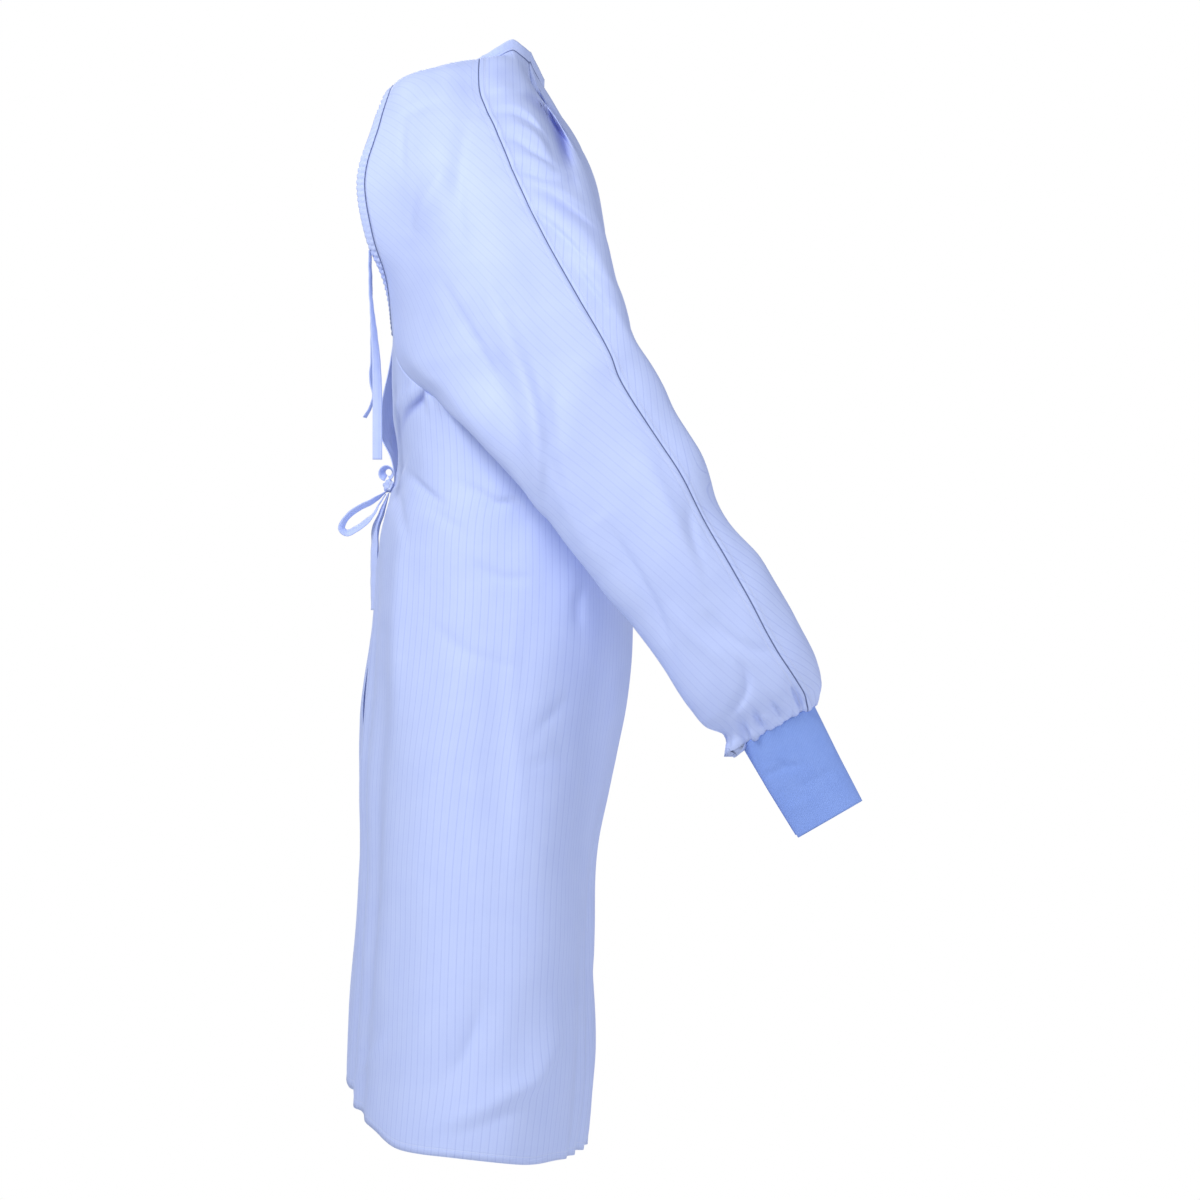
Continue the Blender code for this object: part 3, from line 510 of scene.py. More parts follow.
def body_column(top, armpit_angle, left):
    """One column of the body panel, from the hem up to its point on a seam or neckline."""
    top_angle = ring_angle(top[None])[0]
    if top_angle < armpit_angle:
        edge = back_edge_angle(top[2:])[0]
        share = max(0.0, (top_angle - edge) / (armpit_angle - edge))
        hem_angle = back_edge_angle([HEM[0].z])[0] * (1 - share) + armpit_angle * share
    else:
        share, hem_angle = 1, top_angle
    hem = curve([h.angle for h in HEM], [[h.z] for h in HEM], [hem_angle])[0, 0]
    z = np.linspace(hem, top[2], BODY_ROWS + 1)
    angle = back_edge_angle(z) * (1 - share) + max(top_angle, armpit_angle) * share
    points = body_ring(angle, z)
    if left:
        push = curve([e.z for e in BACK_EDGE], [[e.left_push] for e in BACK_EDGE], z)[:, 0]
        below_seam = np.clip((top[2] - z) / PUSH_FADE, 0, 1)
        points[:, 1] += push * np.clip(1 - angle / PUSH_ANGLE, 0, 1) * below_seam
    points[-1] = top
    return points


back_seam = back_raw[notch_row:armpit_row + 1, -1]
front_seam = front_raw[:armpit_row + 1, -1][::-1]
neck_guides = np.array([front_raw[0, -1], NECK_SIDE, NECK_FRONT], float)
neck_guides = np.concatenate([neck_guides, mirrored(neck_guides[:2])[::-1]])
neck_knots = distances(neck_guides)
neckline = curve(neck_knots, neck_guides, np.linspace(0, neck_knots[-1], NECK_COLUMNS + 1))
half_neck = on_body(neckline[1:NECK_COLUMNS // 2 + 1])
half_neck[-1, 0] = 0
tops = np.concatenate([back_seam, front_seam[1:], half_neck])
armpit_angle = ring_angle(back_seam)[-1]
right_half = np.stack([mirrored(body_column(top, armpit_angle, False)) for top in tops], axis=1)
left_half = np.stack([body_column(top, armpit_angle, True) for top in tops], axis=1)
body_raw = np.concatenate([right_half, left_half[:, -2::-1]], axis=1)
column_widths = np.linalg.norm(np.diff(body_raw, axis=1), axis=2).mean(axis=0)
column_knots = np.concatenate([[0], np.cumsum(column_widths)])
column_parts = [max(1, round(width / SIDE_COLUMN)) for width in column_widths]
column_places = np.concatenate(
    [[0], *(np.linspace(a, b, parts + 1)[1:]
            for a, b, parts in zip(column_knots, column_knots[1:], column_parts))])


def split_line(line):
    """A line with a point for each column, with points for the added columns."""
    return np.stack([np.interp(column_places, column_knots, line[:, axis]) for axis in range(3)],
                    axis=1)


body_top = split_line(body_raw[-1])
body_raw = curve(column_knots, body_raw.transpose(1, 0, 2), column_places).transpose(1, 0, 2)
body_raw[-1] = body_top


def unit(vectors):
    return vectors / np.linalg.norm(vectors, axis=-1, keepdims=True)


def eased(border, inside, beyond, thickness):
    """Border points moved into their own piece, so that it stays clear of the next piece."""
    tangent = unit(np.gradient(border, axis=0))
    own, other = inside - border, beyond - border
    own = unit(own - (own * tangent).sum(-1, keepdims=True) * tangent)
    other = unit(other - (other * tangent).sum(-1, keepdims=True) * tangent)
    opening = np.arccos(np.clip((own * other).sum(-1), -1, 1))
    margin = SEAM_GAP / 2 + thickness / 2 / np.tan(np.clip(opening, 0.4, 3.1) / 2)
    return border + own * margin[..., None]


UP = np.array([0, 0, 1.0])
seam_columns = len(back_seam) + len(front_seam) - 1
down_body = mirrored(right_half[-2])


def sleeve_pieces():
    """Back piece, front piece and binding of a sleeve, with air at each seam."""
    back, front, edge = back_raw.copy(), front_raw.copy(), edge_raw.copy()
    back[:, 0] = eased(back_raw[:, 0], back_raw[:, 1], front_raw[:, 1], CLOTH)
    front[:, 0] = eased(front_raw[:, 0], front_raw[:, 1], back_raw[:, 1], CLOTH)
    # raglan seams to the body panel, and the underarm seam below the armpit
    count, low = len(back_seam), slice(armpit_row, None)
    for piece, own, other, body_side, first in (
            (back, back_raw, front_raw, down_body[:count], notch_row),
            (front, front_raw, back_raw, down_body[count - 1:seam_columns][::-1], 0)):
        raglan = slice(first, armpit_row + 1)
        piece[raglan, -1] = eased(own[raglan, -1], own[raglan, -2], body_side, CLOTH)
        piece[armpit_row + 1:, -1] = eased(own[low, -1], own[low, -2], other[low, -2], CLOTH)[1:]
    # bound edge
    bound_rows = slice(0, notch_row + 1)
    back[bound_rows, -1] = eased(back_raw[bound_rows, -1], back_raw[bound_rows, -2],
                                 edge_raw[:, -1], BINDING)
    edge[:, 0] = eased(edge_raw[:, 0], edge_raw[:, -1], back_raw[bound_rows, -2], BINDING)
    edge[:, 1] = (edge[:, 0] + edge[:, 2]) / 2
    # neckline
    for piece, thickness in ((back, CLOTH), (front, CLOTH), (edge, BINDING)):
        piece[0] = eased(piece[0], piece[1], piece[0] + UP, thickness + SEAM_GAP)
    # the mouth at the cuff
    for piece in (back, front):
        piece[-1] += (piece[-2] - piece[-1]) * MOUTH_SHORT
    # the two corners at the notch and the armpit
    edge[-1] += (edge[-2] - edge[-1]) * CORNER_SHORT
    for corner in (back[armpit_row], front[armpit_row]):
        corner[-1] += (corner[-2] - corner[-1]) * CORNER_SHORT
    return back, front, edge


def body_piece():
    """The body panel with its upper border moved clear of the sleeves and the band."""
    body = body_raw.copy()
    sleeve_side = np.concatenate([back_raw[notch_row:armpit_row, -2],
                                  front_raw[armpit_row::-1, -2], half_neck + UP])
    beyond = split_line(np.concatenate([mirrored(sleeve_side), sleeve_side[-2::-1]]))
    body[-1] = eased(body_raw[-1], body_raw[-2], beyond, CLOTH)
    return body


# ---------------------------------------------------------------- creases and fine cloth
# Worn cloth hangs in soft ridges and troughs. Each fold is a line drawn on the gown as it is
# seen from one side, in millimetres across and up, with its height and its two half widths.
Fold = namedtuple("Fold", "height left right line")
Side = namedtuple("Side", "axis sign across")
SIDES = {"right": Side(0, -1, 1), "left": Side(0, 1, 1),
         "front": Side(1, -1, 0), "back": Side(1, 1, 0)}
SHOULDER_FOLDS = [
    Fold(-32, 5.5, 7.5, [(-30, -17), (-48, -28), (-62, -43), (-70, -59), (-76, -79), (-82, -103)]),
    Fold(5, 4, 8, [(-18, -22), (-33, -29), (-45, -40), (-56, -54), (-64, -72), (-73, -95)]),
    Fold(4.5, 3.5, 5, [(8, -19), (-12, -14), (-31, -16), (-46, -22)]),
    Fold(-3, 9, 8, [(5, -5), (-16, 1), (-38, -3)]),
    Fold(-4.2, 2.4, 7, [(-35, -112), (-62, -124), (-82, -138), (-116, -167)]),
    Fold(2.4, 5, 4, [(-34, -103), (-62, -113), (-86, -126), (-118, -153)]),
]
SLEEVE_FOLDS = [
    Fold(-3.6, 2.2, 6, [(1, -39), (-22, -37), (-40, -45), (-53, -56)]),
    Fold(-3.8, 2.2, 6, [(-8, -63), (-24, -64), (-44, -76), (-63, -90)]),
    Fold(2.4, 5, 4, [(-13, -53), (-30, -55), (-50, -68), (-62, -81)]),
    Fold(-3.8, 2.2, 6, [(-18, -94), (-38, -97), (-51, -102), (-73, -106)]),
    Fold(2.4, 5, 4, [(-22, -83), (-44, -88), (-66, -97)]),
    Fold(-4, 2.4, 7, [(-32, -128), (-63, -152), (-83, -171), (-108, -200)]),
    Fold(-3.4, 3, 7, [(-80, -187), (-100, -213), (-122, -243)]),
    Fold(-1.8, 4, 7, [(92, -47), (80, -39), (68, -34), (48, -30)]),
    Fold(-1.5, 4, 4, [(85, -47), (87, -70), (85, -97)]),
    Fold(-1.5, 4, 6, [(71, -115), (75, -135), (78, -163)]),
    Fold(2.4, 5, 9, [(74, -159), (59, -125), (42, -89)]),
    Fold(-3.2, 3, 10, [(47, -205), (20, -255), (-10, -310)]),
    Fold(8, 4.5, 16, [(-4, -215), (-22, -262), (-36, -298), (-46, -332), (-51, -365), (-53, -440)]),
    Fold(-3, 10, 6, [(-63, -305), (-66, -345), (-72, -380)]),
    Fold(4, 3.5, 11, [(-53, -359), (-70, -405), (-84, -436), (-100, -470)]),
    Fold(-3, 4, 9, [(-199, -425), (-202, -461), (-212, -491)]),
    Fold(-4, 3.5, 7, [(-240, -582), (-253, -593), (-257, -611), (-249, -628), (-233, -647)]),
    Fold(-2.4, 6, 10, [(20, -41), (29, -85), (31, -130), (25, -179)]),
    Fold(4, 8, 14, [(-150, -370), (-172, -425), (-196, -477), (-214, -529)]),
    Fold(-4, 5, 12, [(-108, -440), (-140, -490), (-167, -540), (-182, -581)]),
    Fold(3, 5, 9, [(-174, -523), (-196, -553), (-222, -577), (-240, -587)]),
    Fold(-2.6, 4, 8, [(-210, -535), (-234, -557), (-262, -573), (-286, -577)]),
    Fold(-5, 1.8, 3, [(-262, -633), (-269, -644), (-276, -656)]),
    Fold(-5, 1.8, 3, [(-280, -625), (-287, -635), (-293, -645)]),
    Fold(-6, 2, 3, [(-300, -609), (-306, -621), (-312, -634)]),
    Fold(-4, 1.8, 3, [(-248, -643), (-254, -653), (-260, -665)]),
    Fold(3.5, 4, 4, [(-270, -637), (-278, -647)]),
    Fold(3.5, 4, 4, [(-293, -625), (-300, -637)]),
    Fold(5, 19, 19, [(-10, -229), (-22, -262), (-36, -298), (-46, -332), (-51, -365), (-53, -430)]),
    Fold(-4, 18, 18, [(22, -250), (-2, -302), (-22, -355), (-28, -415)]),
    Fold(4, 17, 17, [(-53, -363), (-70, -405), (-95, -460), (-120, -505)]),
    Fold(-4.5, 18, 18, [(-108, -440), (-140, -490), (-165, -540), (-178, -575)]),
    Fold(4, 18, 18, [(-150, -375), (-172, -425), (-196, -477), (-214, -530)]),
    Fold(-3.5, 18, 18, [(24, -40), (30, -85), (32, -130), (26, -178)]),
    Fold(3, 16, 16, [(76, -160), (60, -123), (42, -88)]),
    Fold(-6, 13, 13, [(-48, -26), (-62, -45), (-69, -72), (-78, -104)]),
    Fold(-3.5, 16, 16, [(-56, -150), (-76, -175), (-100, -200)]),
]
BODY_FOLDS = [
    Fold(-4.4, 2.6, 8, [(26, -408), (8, -417), (-7, -426), (-23, -428), (-36, -441)]),
    Fold(-2, 3.5, 7, [(64, -428), (45, -442), (26, -456)]),
    Fold(-3.4, 5, 6, [(-93, -511), (-89, -529), (-91, -555)]),
    Fold(-2, 4.5, 7, [(-40, -663), (-58, -643), (-78, -621)]),
    Fold(-1.6, 4, 6, [(-64, -660), (-70, -673), (-78, -690)]),
    Fold(-1.6, 4, 6, [(-34, -691), (-50, -686), (-66, -685)]),
    Fold(3, 9, 6, [(58, -1054), (14, -1039), (-21, -1019), (-42, -1008), (-55, -990),
                   (-65, -968), (-67, -931)]),
    Fold(-3, 8, 12, [(48, -1060), (8, -1046), (-25, -1027), (-48, -1015), (-63, -995),
                     (-74, -967)]),
    Fold(-2.6, 5, 8, [(48, -1004), (31, -985), (23, -970), (8, -925)]),
    Fold(2.8, 5, 5, [(142, -1013), (130, -997), (119, -983), (101, -950)]),
    Fold(2.4, 4, 5, [(132, -981), (127, -955), (121, -925)]),
    Fold(-2.4, 3.5, 4.5, [(89, -400), (91, -413), (88, -433), (80, -465)]),
    Fold(-3.4, 3, 6, [(82, -395), (65, -414), (40, -433)]),
    Fold(2.6, 7, 8, [(86, -425), (88, -505), (91, -585), (94, -665)]),
    Fold(-2.4, 4, 8, [(20, -485), (-10, -501), (-46, -503)]),
    Fold(-2.2, 5, 9, [(60, -545), (20, -577), (-30, -593)]),
    Fold(2.2, 8, 9, [(-30, -525), (-22, -615), (-30, -715), (-22, -825)]),
    Fold(-2.2, 8, 9, [(20, -625), (28, -725), (20, -845)]),
    Fold(3, 6, 6, [(66, -309), (86, -325), (96, -345), (99, -373)]),
    Fold(4, 17, 17, [(87, -440), (88, -470), (91, -515), (94, -570), (91, -635)]),
    Fold(5, 20, 20, [(54, -1053), (14, -1039), (-21, -1019), (-42, -1008), (-55, -985),
                     (-66, -935)]),
    Fold(-4, 17, 17, [(40, -1010), (24, -985), (12, -950), (6, -900)]),
    Fold(3.5, 26, 26, [(20, -485), (28, -585), (35, -690), (38, -790)]),
    Fold(-4, 26, 26, [(-12, -560), (-8, -665), (-14, -780), (-10, -880)]),
    Fold(3.5, 24, 24, [(-56, -700), (-58, -820), (-50, -930)]),
    Fold(-3.5, 20, 20, [(80, -800), (88, -900), (92, -1000)]),
]
KNOT_FOLDS = [
    Fold(-9, 3.5, 3.5, [(96, -389), (99, -411), (102, -435), (106, -465)]),
    Fold(-5, 2.6, 3.5, [(89, -399), (92, -419), (95, -449)]),
    Fold(-14, 3, 5, [(40, -305), (66, -325), (83, -342), (89, -361), (91, -395)]),
]
BACK_FOLDS = [
    Fold(-8.8, 20, 20, [(-52, -490), (-66, -640), (-84, -860), (-96, -1200)]),
    Fold(-8, 20, 20, [(-124, -560), (-138, -780), (-152, -1200)]),
    Fold(-8.8, 20, 20, [(56, -500), (74, -660), (94, -880), (104, -1200)]),
    Fold(-8, 20, 20, [(128, -590), (144, -800), (158, -1200)]),
    Fold(3, 8, 12, [(-14, -440), (-30, -520), (-42, -640), (-46, -800)]),
    Fold(-2.2, 4, 7, [(-20, -408), (-60, -372), (-110, -330), (-150, -296)]),
    Fold(-2, 4, 8, [(22, -400), (58, -362), (104, -318), (140, -292)]),
    Fold(2, 5, 8, [(-26, -420), (-80, -408), (-140, -372)]),
    Fold(2, 8, 5, [(26, -422), (84, -412), (136, -380)]),
    Fold(3, 12, 8, [(14, -440), (32, -530), (40, -650), (52, -790)]),
]
FRONT_FOLDS = [
    Fold(-8.5, 22, 22, [(-98, -1300), (-88, -1050), (-74, -880), (-58, -700)]),
    Fold(-5.9, 18, 18, [(-33, -1250), (-28, -1040), (-22, -900)]),
    Fold(-9.1, 22, 22, [(47, -1350), (43, -1040), (36, -840), (30, -620)]),
    Fold(-7.2, 20, 20, [(108, -1250), (98, -1040), (82, -870)]),
    Fold(-6.5, 20, 20, [(-146, -1250), (-138, -1020), (-118, -820)]),
    Fold(-7.8, 22, 22, [(156, -1280), (146, -1030), (122, -790)]),
    Fold(-4.5, 18, 18, [(-122, -170), (-98, -225), (-62, -278), (-16, -306)]),
    Fold(-4.5, 18, 18, [(118, -176), (90, -236), (54, -286), (10, -318)]),
    Fold(2.2, 7, 10, [(-148, -196), (-118, -270), (-80, -330)]),
    Fold(2.2, 7, 10, [(150, -190), (122, -262), (78, -338)]),
    Fold(-2, 5, 10, [(-50, -470), (-10, -482), (44, -472)]),
    Fold(-1.6, 4, 8, [(-30, -60), (-4, -84), (26, -66)]),
]


def finer(grid, along, across):
    """The same surface, smooth through every given point, in cells of about the given size.

    A size is one number, or one for each interval between two rows or two columns.
    """
    for sizes in (along, across):
        step = np.linalg.norm(np.diff(grid, axis=0), axis=2).mean(axis=1)
        knots = np.concatenate([[0], np.cumsum(step)])
        at = [[0]]
        for first, last, size in zip(knots, knots[1:], np.broadcast_to(sizes, len(step))):
            parts = max(1, round((last - first) / size))
            at.append(np.linspace(first, last, parts + 1)[1:])
        grid = curve(knots, grid, np.concatenate(at)).transpose(1, 0, 2)
    return grid


def outward(grid):
    """Unit normals of a grid of points, out of the hollow that its rows bend round."""
    normals = unit(np.cross(np.gradient(grid, axis=0), np.gradient(grid, axis=1)) + 1e-9)
    middle = (grid[:, :1] + grid[:, -1:]) / 2
    return normals * np.sign(((grid - middle) * normals).sum(-1).mean())


FACING_FROM, FACING_RISE = -0.1, 3.0  # from which facing a surface takes folds, how fast
STRAIGHT_RISE = 1.6    # the same where the cloth moves straight
FOLD_SPOTS = 60        # points to which a fold's line is drawn out
FOLD_END = 12.0        # over which a fold fades out past its ends
TAPER, STRAIGHT_TAPER = 0.7, 1.1      # how early it grows lower towards its ends


def draw_folds(grid, folds, side, straight=False):
    """Raise or sink a fine grid along the folds drawn on it from one side.

    The cloth moves along its normals, or straight along the line of sight.
    """
    view = SIDES[side]
    normals = outward(grid)
    facing = normals[..., view.axis] * view.sign
    facing = facing * STRAIGHT_RISE if straight else (facing - FACING_FROM) * FACING_RISE
    facing = np.clip(facing, 0, 1)
    power = STRAIGHT_TAPER if straight else TAPER
    flat = np.stack([grid[..., view.across], grid[..., 2]], axis=-1)
    lift = np.zeros(grid.shape[:2])
    for fold in folds:
        line = np.array(fold.line, float)
        at = distances(line)
        spots = curve(at, line, np.linspace(0, at[-1], FOLD_SPOTS))
        run = unit(np.gradient(spots, axis=0))
        reach = 3 * max(fold.left, fold.right)
        low, high = spots.min(axis=0) - reach, spots.max(axis=0) + reach
        near = ((flat > low) & (flat < high)).all(axis=-1) & (facing > 0)
        points = flat[near]
        gap = points[:, None] - spots[None]
        nearest = (gap ** 2).sum(-1).argmin(axis=1)
        step = gap[np.arange(len(points)), nearest]
        sideways = run[nearest, 0] * step[:, 1] - run[nearest, 1] * step[:, 0]
        length = (run[nearest] * step).sum(-1)
        share = nearest / (FOLD_SPOTS - 1)
        beyond = np.where((share == 0) | (share == 1), np.abs(length), 0)
        width = np.where(sideways > 0, fold.right, fold.left)
        taper = np.sin(np.pi * np.clip(share, 0.04, 0.96)) ** power
        shape = np.exp(-(sideways / width) ** 2 - (beyond / FOLD_END) ** 2)
        lift[near] += fold.height * taper * shape
    if straight:
        grid[..., view.axis] += view.sign * lift * facing
    else:
        grid += normals * (lift * facing)[..., None]


def onto(points, line):
    """The point of a line that is nearest to each of the given points."""
    start, step = line[:-1], np.diff(line, axis=0)
    share = ((points[:, None] - start) * step).sum(-1) / np.maximum((step ** 2).sum(-1), 1e-9)
    spots = start + np.clip(share, 0, 1)[..., None] * step
    nearest = ((points[:, None] - spots) ** 2).sum(-1).argmin(axis=1)
    return spots[np.arange(len(points)), nearest]


SEW_WITHIN, SEW_FADE = 12.0, 16.0     # how far borders are drawn, and over how much cloth


def join(grid, lines, within=SEW_WITHIN, share=1.0):
    """Draw the first row of a grid onto the borders it is sewn to, and the cloth behind it."""
    border = grid[0].copy()
    spots = np.stack([onto(border, line) for line in lines])
    nearest = np.linalg.norm(spots - border, axis=2).argmin(axis=0)
    shift = spots[nearest, np.arange(len(border))] - border
    shift *= (share * np.clip(2 - np.linalg.norm(shift, axis=1) / within, 0, 1))[:, None]
    grid += shift * np.exp(-(measure(grid, 0) / SEW_FADE) ** 2)[..., None]


def by_columns(grid, last=False):
    """The same grid with its first or its last column as the first row."""
    return grid.transpose(1, 0, 2)[::-1] if last else grid.transpose(1, 0, 2)


def like_folds(folds, shift):
    """Folds for the other side: like the given ones, but not the same."""
    again = []
    for number, fold in enumerate(folds):
        change = math.sin(number * 2.4 + shift)
        line = [(y + 7 * change, z - 9 * math.cos(number * 1.7 + shift)) for y, z in fold.line]
        again.append(Fold(fold.height * (0.85 + 0.3 * change), fold.left, fold.right, line))
    return again


WANDER = [(61, 0.35), (97, 0.45), (146, 0.6), (233, 0.8)]   # wave lengths and heights


def wander(grid):
    """The slight unevenness of cloth that hangs, the same on every piece where they meet."""
    lift = np.zeros(grid.shape[:2])
    for number, (length, height) in enumerate(WANDER):
        lean = 0.9 * number + 0.4
        run = grid[..., 1] * math.cos(lean) + grid[..., 2] * math.sin(lean) * 0.7
        run = run + 0.6 * np.abs(grid[..., 0]) + 20 * np.sin(grid[..., 2] / (length * 1.3) + number)
        lift += height * np.sin(run * 2 * math.pi / length + number)
    grid += outward(grid) * lift[..., None]


def other_way(folds, left):
    """The folds themselves on the right, and folds like them on the left."""
    return like_folds(folds, 0.7) if left else folds


def measure(grid, axis):
    """Distance of each point of a grid along its rows (axis 1) or down its columns (axis 0)."""
    steps = np.linalg.norm(np.diff(grid, axis=axis), axis=-1)
    start = np.zeros_like(np.take(steps, [0], axis=axis))
    return np.concatenate([start, np.cumsum(steps, axis=axis)], axis=axis)


def shown(name, data):
    """A new object in the scene, for a mesh, a lamp or the camera."""
    thing = bpy.data.objects.new(name, data)
    bpy.context.scene.collection.objects.link(thing)
    return thing


def sew(name, grid, cut, seam, border, material, thickness=CLOTH,
        closed=False, fold_shade_depth=0.0):
    """A cloth piece on a fine grid, with three UV maps in metres of cloth.

    They are its cut, its distance from the stitched seam and along it, and its distance from
    the dark lines of painted seam shade with the depth of the hollow that it lies in, which
    sets the painted shade deep in that hollow.
    """
    rows, columns = grid.shape[:2]
    mesh = bpy.data.meshes.new(name + "_cloth")
    sheet = bmesh.new()
    bmesh.ops.create_grid(sheet, x_segments=columns - 1, y_segments=rows - 1, size=1)
    points = grid.reshape(-1, 3) * MM
    for layer, values in (("cut", cut), ("seam", seam), ("border", (border, fold_shade_depth + 0 * border))):
        uv = sheet.loops.layers.uv.new(layer)
        flat_values = np.stack(np.broadcast_arrays(*values), axis=-1).reshape(-1, 2) * MM
        for face in sheet.faces:
            for loop in face.loops:
                loop[uv].uv = flat_values[loop.vert.index]
    for vert, point in zip(sheet.verts, points):
        vert.co = point
    if closed:
        bmesh.ops.remove_doubles(sheet, verts=sheet.verts, dist=0.01 * MM)
    sheet.to_mesh(mesh)
    sheet.free()
    mesh.shade_smooth()
    mesh.materials.append(material)
    piece = shown(name + "_cloth", mesh)
    wall = piece.modifiers.new("wall", "SOLIDIFY")
    wall.thickness = thickness * MM
    wall.offset = 0
    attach(piece, "root")
    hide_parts(name)


# ---------------------------------------------------------------- the sleeves
# Front and back piece of each sleeve. The back piece is cut on the bias, so its pinstripes
# run down the arm at a slant. Both are gathered into the cuff.
FINE = 3.4             # size of the cells of the fine cloth
BIAS, GRAIN = 42, 90   # slant of the two pieces' stripes below the horizontal, in degrees
FLAT_SHARE = 0.45      # share of a piece's width, from the overarm seam, that faces outwards
EVEN_ROWS = 70         # rows to each side over which the direction of the stripes is evened
GATHER_HEIGHT, GATHER_REACH, PLEAT = 3.6, 30.0, 9.5   # how far up the pleats run, and their size
RUFFLE, RUFFLE_REACH = 4.0, 9.0      # how far the gathered mouth falls over the cuff
# bumps in the outline of the side view: place, size and height
Bump = namedtuple("Bump", "y z size height")
SLEEVE_BUMPS = [
    Bump(-243, -671, 8, 18),      # the loop of cloth where the underarm seam meets the cuff
    Bump(92, -8, 13, 3.2),
    Bump(56, 4, 15, -2.0),
    Bump(-174, -310, 30, 3.5),
    Bump(-230, -425, 28, -4.0),
    Bump(-264, -473, 26, 3.0),
    Bump(-312, -540, 34, -5.5),
]
SEAM_ROLL, SEAM_ROLL_AT, SEAM_ROLL_WIDTH = 1.1, 3.0, 2.6   # the roll along the overarm seam
# The painted shade along a seam is a thin dark line; where a border gets none, this is added to its
# distance.
NO_SEAM_SHADE = 50           # added to a border's distance where it has no dark seam line
BOUND_END = -262       # height where the bound edge ends and the back seam starts


def gather(grid, phase):
    """Small pleats that run out of the cuff's seam and fade up the sleeve."""
    rise = measure(grid, 0)
    rise = rise[-1:] - rise
    over = measure(grid, 1) / PLEAT
    pleat = (np.sin(over * 2.1 + phase) + 0.6 * np.sin(over * 3.7 + 2 * phase)
             + 0.4 * np.sin(over * 6.1))
    pleat *= 0.7 + 0.45 * np.sin(over * 0.8 + phase)
    fade = np.exp(-(rise / GATHER_REACH) ** 1.5) * np.clip(rise / 4, 0.25, 1)
    grid += outward(grid) * (GATHER_HEIGHT / 2 * pleat * fade)[..., None]
    fall = unit(grid[-1] - grid[-3])
    lip = np.exp(-(rise / RUFFLE_REACH) ** 2) * (0.55 + 0.3 * pleat)
    grid += fall * (RUFFLE * lip)[..., None]
    bulge = np.exp(-((rise - 5) / 4) ** 2) * (1 + 0.5 * pleat)
    grid += outward(grid) * (RUFFLE * 0.5 * bulge)[..., None]


def swell(grid, bumps):
    """Move the outline of the side view out or in by small bumps."""
    for bump in bumps:
        away = (grid[..., 1] - bump.y) ** 2 + (grid[..., 2] - bump.z) ** 2
        grid += outward(grid) * (bump.height * np.exp(-away / bump.size ** 2))[..., None]


def unrolled(grid):
    """Where each point of a sleeve piece lies when it is rolled flat onto the side view."""
    start = grid[:, :1, 1:]
    towards = grid[:, [round(grid.shape[1] * FLAT_SHARE)], 1:] - start
    evened = np.stack([towards[max(0, row - EVEN_ROWS):row + EVEN_ROWS + 1].mean(axis=0)
                       for row in range(len(grid))])
    reach = measure(grid, 1)[..., None]
    return start + unit(evened) * reach


back, front, edge = sleeve_pieces()
# Each piece with the slant of its stripes, the size of its cells across, how far it rolls at
# the seam over the arm, above which height its other border has a dark line of painted seam shade,
# and its pleats.
Cut = namedtuple("Cut", "name grid slant across roll lined_above pleats material flat area")
SLEEVE_CUTS = [
    Cut("sleeve_back_", back, BIAS, FINE, -0.4, BOUND_END, 1.3, bias_cloth, (0.36, 0.93), 0.2),
    Cut("sleeve_front_", front, GRAIN, 2.0, 1, -math.inf, 2.3, striped_cloth, (0.25, 0.93), 0.12),
]
SLEEVES = [cut.name + side for cut in SLEEVE_CUTS for side in ("right", "left")]
sewn = {}
for side in ("right", "left"):
    left = side == "left"
    for cut in SLEEVE_CUTS:
        fine = finer(placed(cut.grid, left), FINE, cut.across)
        flat_map = unrolled(fine)
        away = measure(fine, 1)
        far_border = away[:, -1:] - away + NO_SEAM_SHADE * (fine[:, -1:, 2] < cut.lined_above)
        roll = np.exp(-((away - SEAM_ROLL_AT) / SEAM_ROLL_WIDTH) ** 2) * SEAM_ROLL
        fine += outward(fine) * (cut.roll * roll)[..., None]
        wander(fine)
        gather(fine, cut.pleats + 2 * left)
        swell(fine, SLEEVE_BUMPS)
        draw_folds(fine, other_way(SLEEVE_FOLDS, left), side)
        # how far the shoulder hollow sinks the cloth, which sets the painted shade deep in it
        fold_shade_depth = fine[..., 0].copy()
        draw_folds(fine, other_way(SHOULDER_FOLDS, left), side, straight=True)
        fold_shade_depth = np.maximum((fine[..., 0] - fold_shade_depth) * (-1 if left else 1), 0)
        if cut.grid is front:
            join(by_columns(fine), [sewn["sleeve_back_" + side][:, 0]])
            join(by_columns(fine, last=True), [sewn["sleeve_back_" + side][:, -1]])
        sewn[cut.name + side] = fine
        # the cloth runs down and forward by this slant, and the stripes lie across that
        sine, cosine = math.sin(math.radians(cut.slant)), math.cos(math.radians(cut.slant))
        run = (flat_map[..., 0] * sine - flat_map[..., 1] * cosine,
               flat_map[..., 0] * cosine + flat_map[..., 1] * sine)
        sew(cut.name + side, fine, run, (away, measure(fine, 0)), np.minimum(away, far_border),
            cut.material, fold_shade_depth=fold_shade_depth)


# ---------------------------------------------------------------- the body panel
# Straight-cut panel with vertical pinstripes, a narrow stitched hem all round its lower
# border and down its two free edges at the back.
BODY_FINE_ROWS, BODY_FINE_COLUMNS = (3.9, 8.0), (3.9, 6.5)   # in the creased parts, elsewhere
FINE_ABOVE, FINE_BEHIND = -540, -20       # the creased parts are above and behind these
SPREAD_FROM, SPREAD_WIDTH = 60.0, 215.0   # the stripes fan out from here to the front's middle
HEM_STITCH = 7.5       # from the hem to its row of stitches
HEM_DIP, HEM_DIP_WIDTH = 0.5, 1.6         # how that row draws the cloth in
NECK_HALF, NECK_SEAM_FADE = 50.0, 5.0   # the raglan seams start this far to each side
PANEL_WITHIN = 24.0    # how far the panel's upper border is drawn to the sleeves
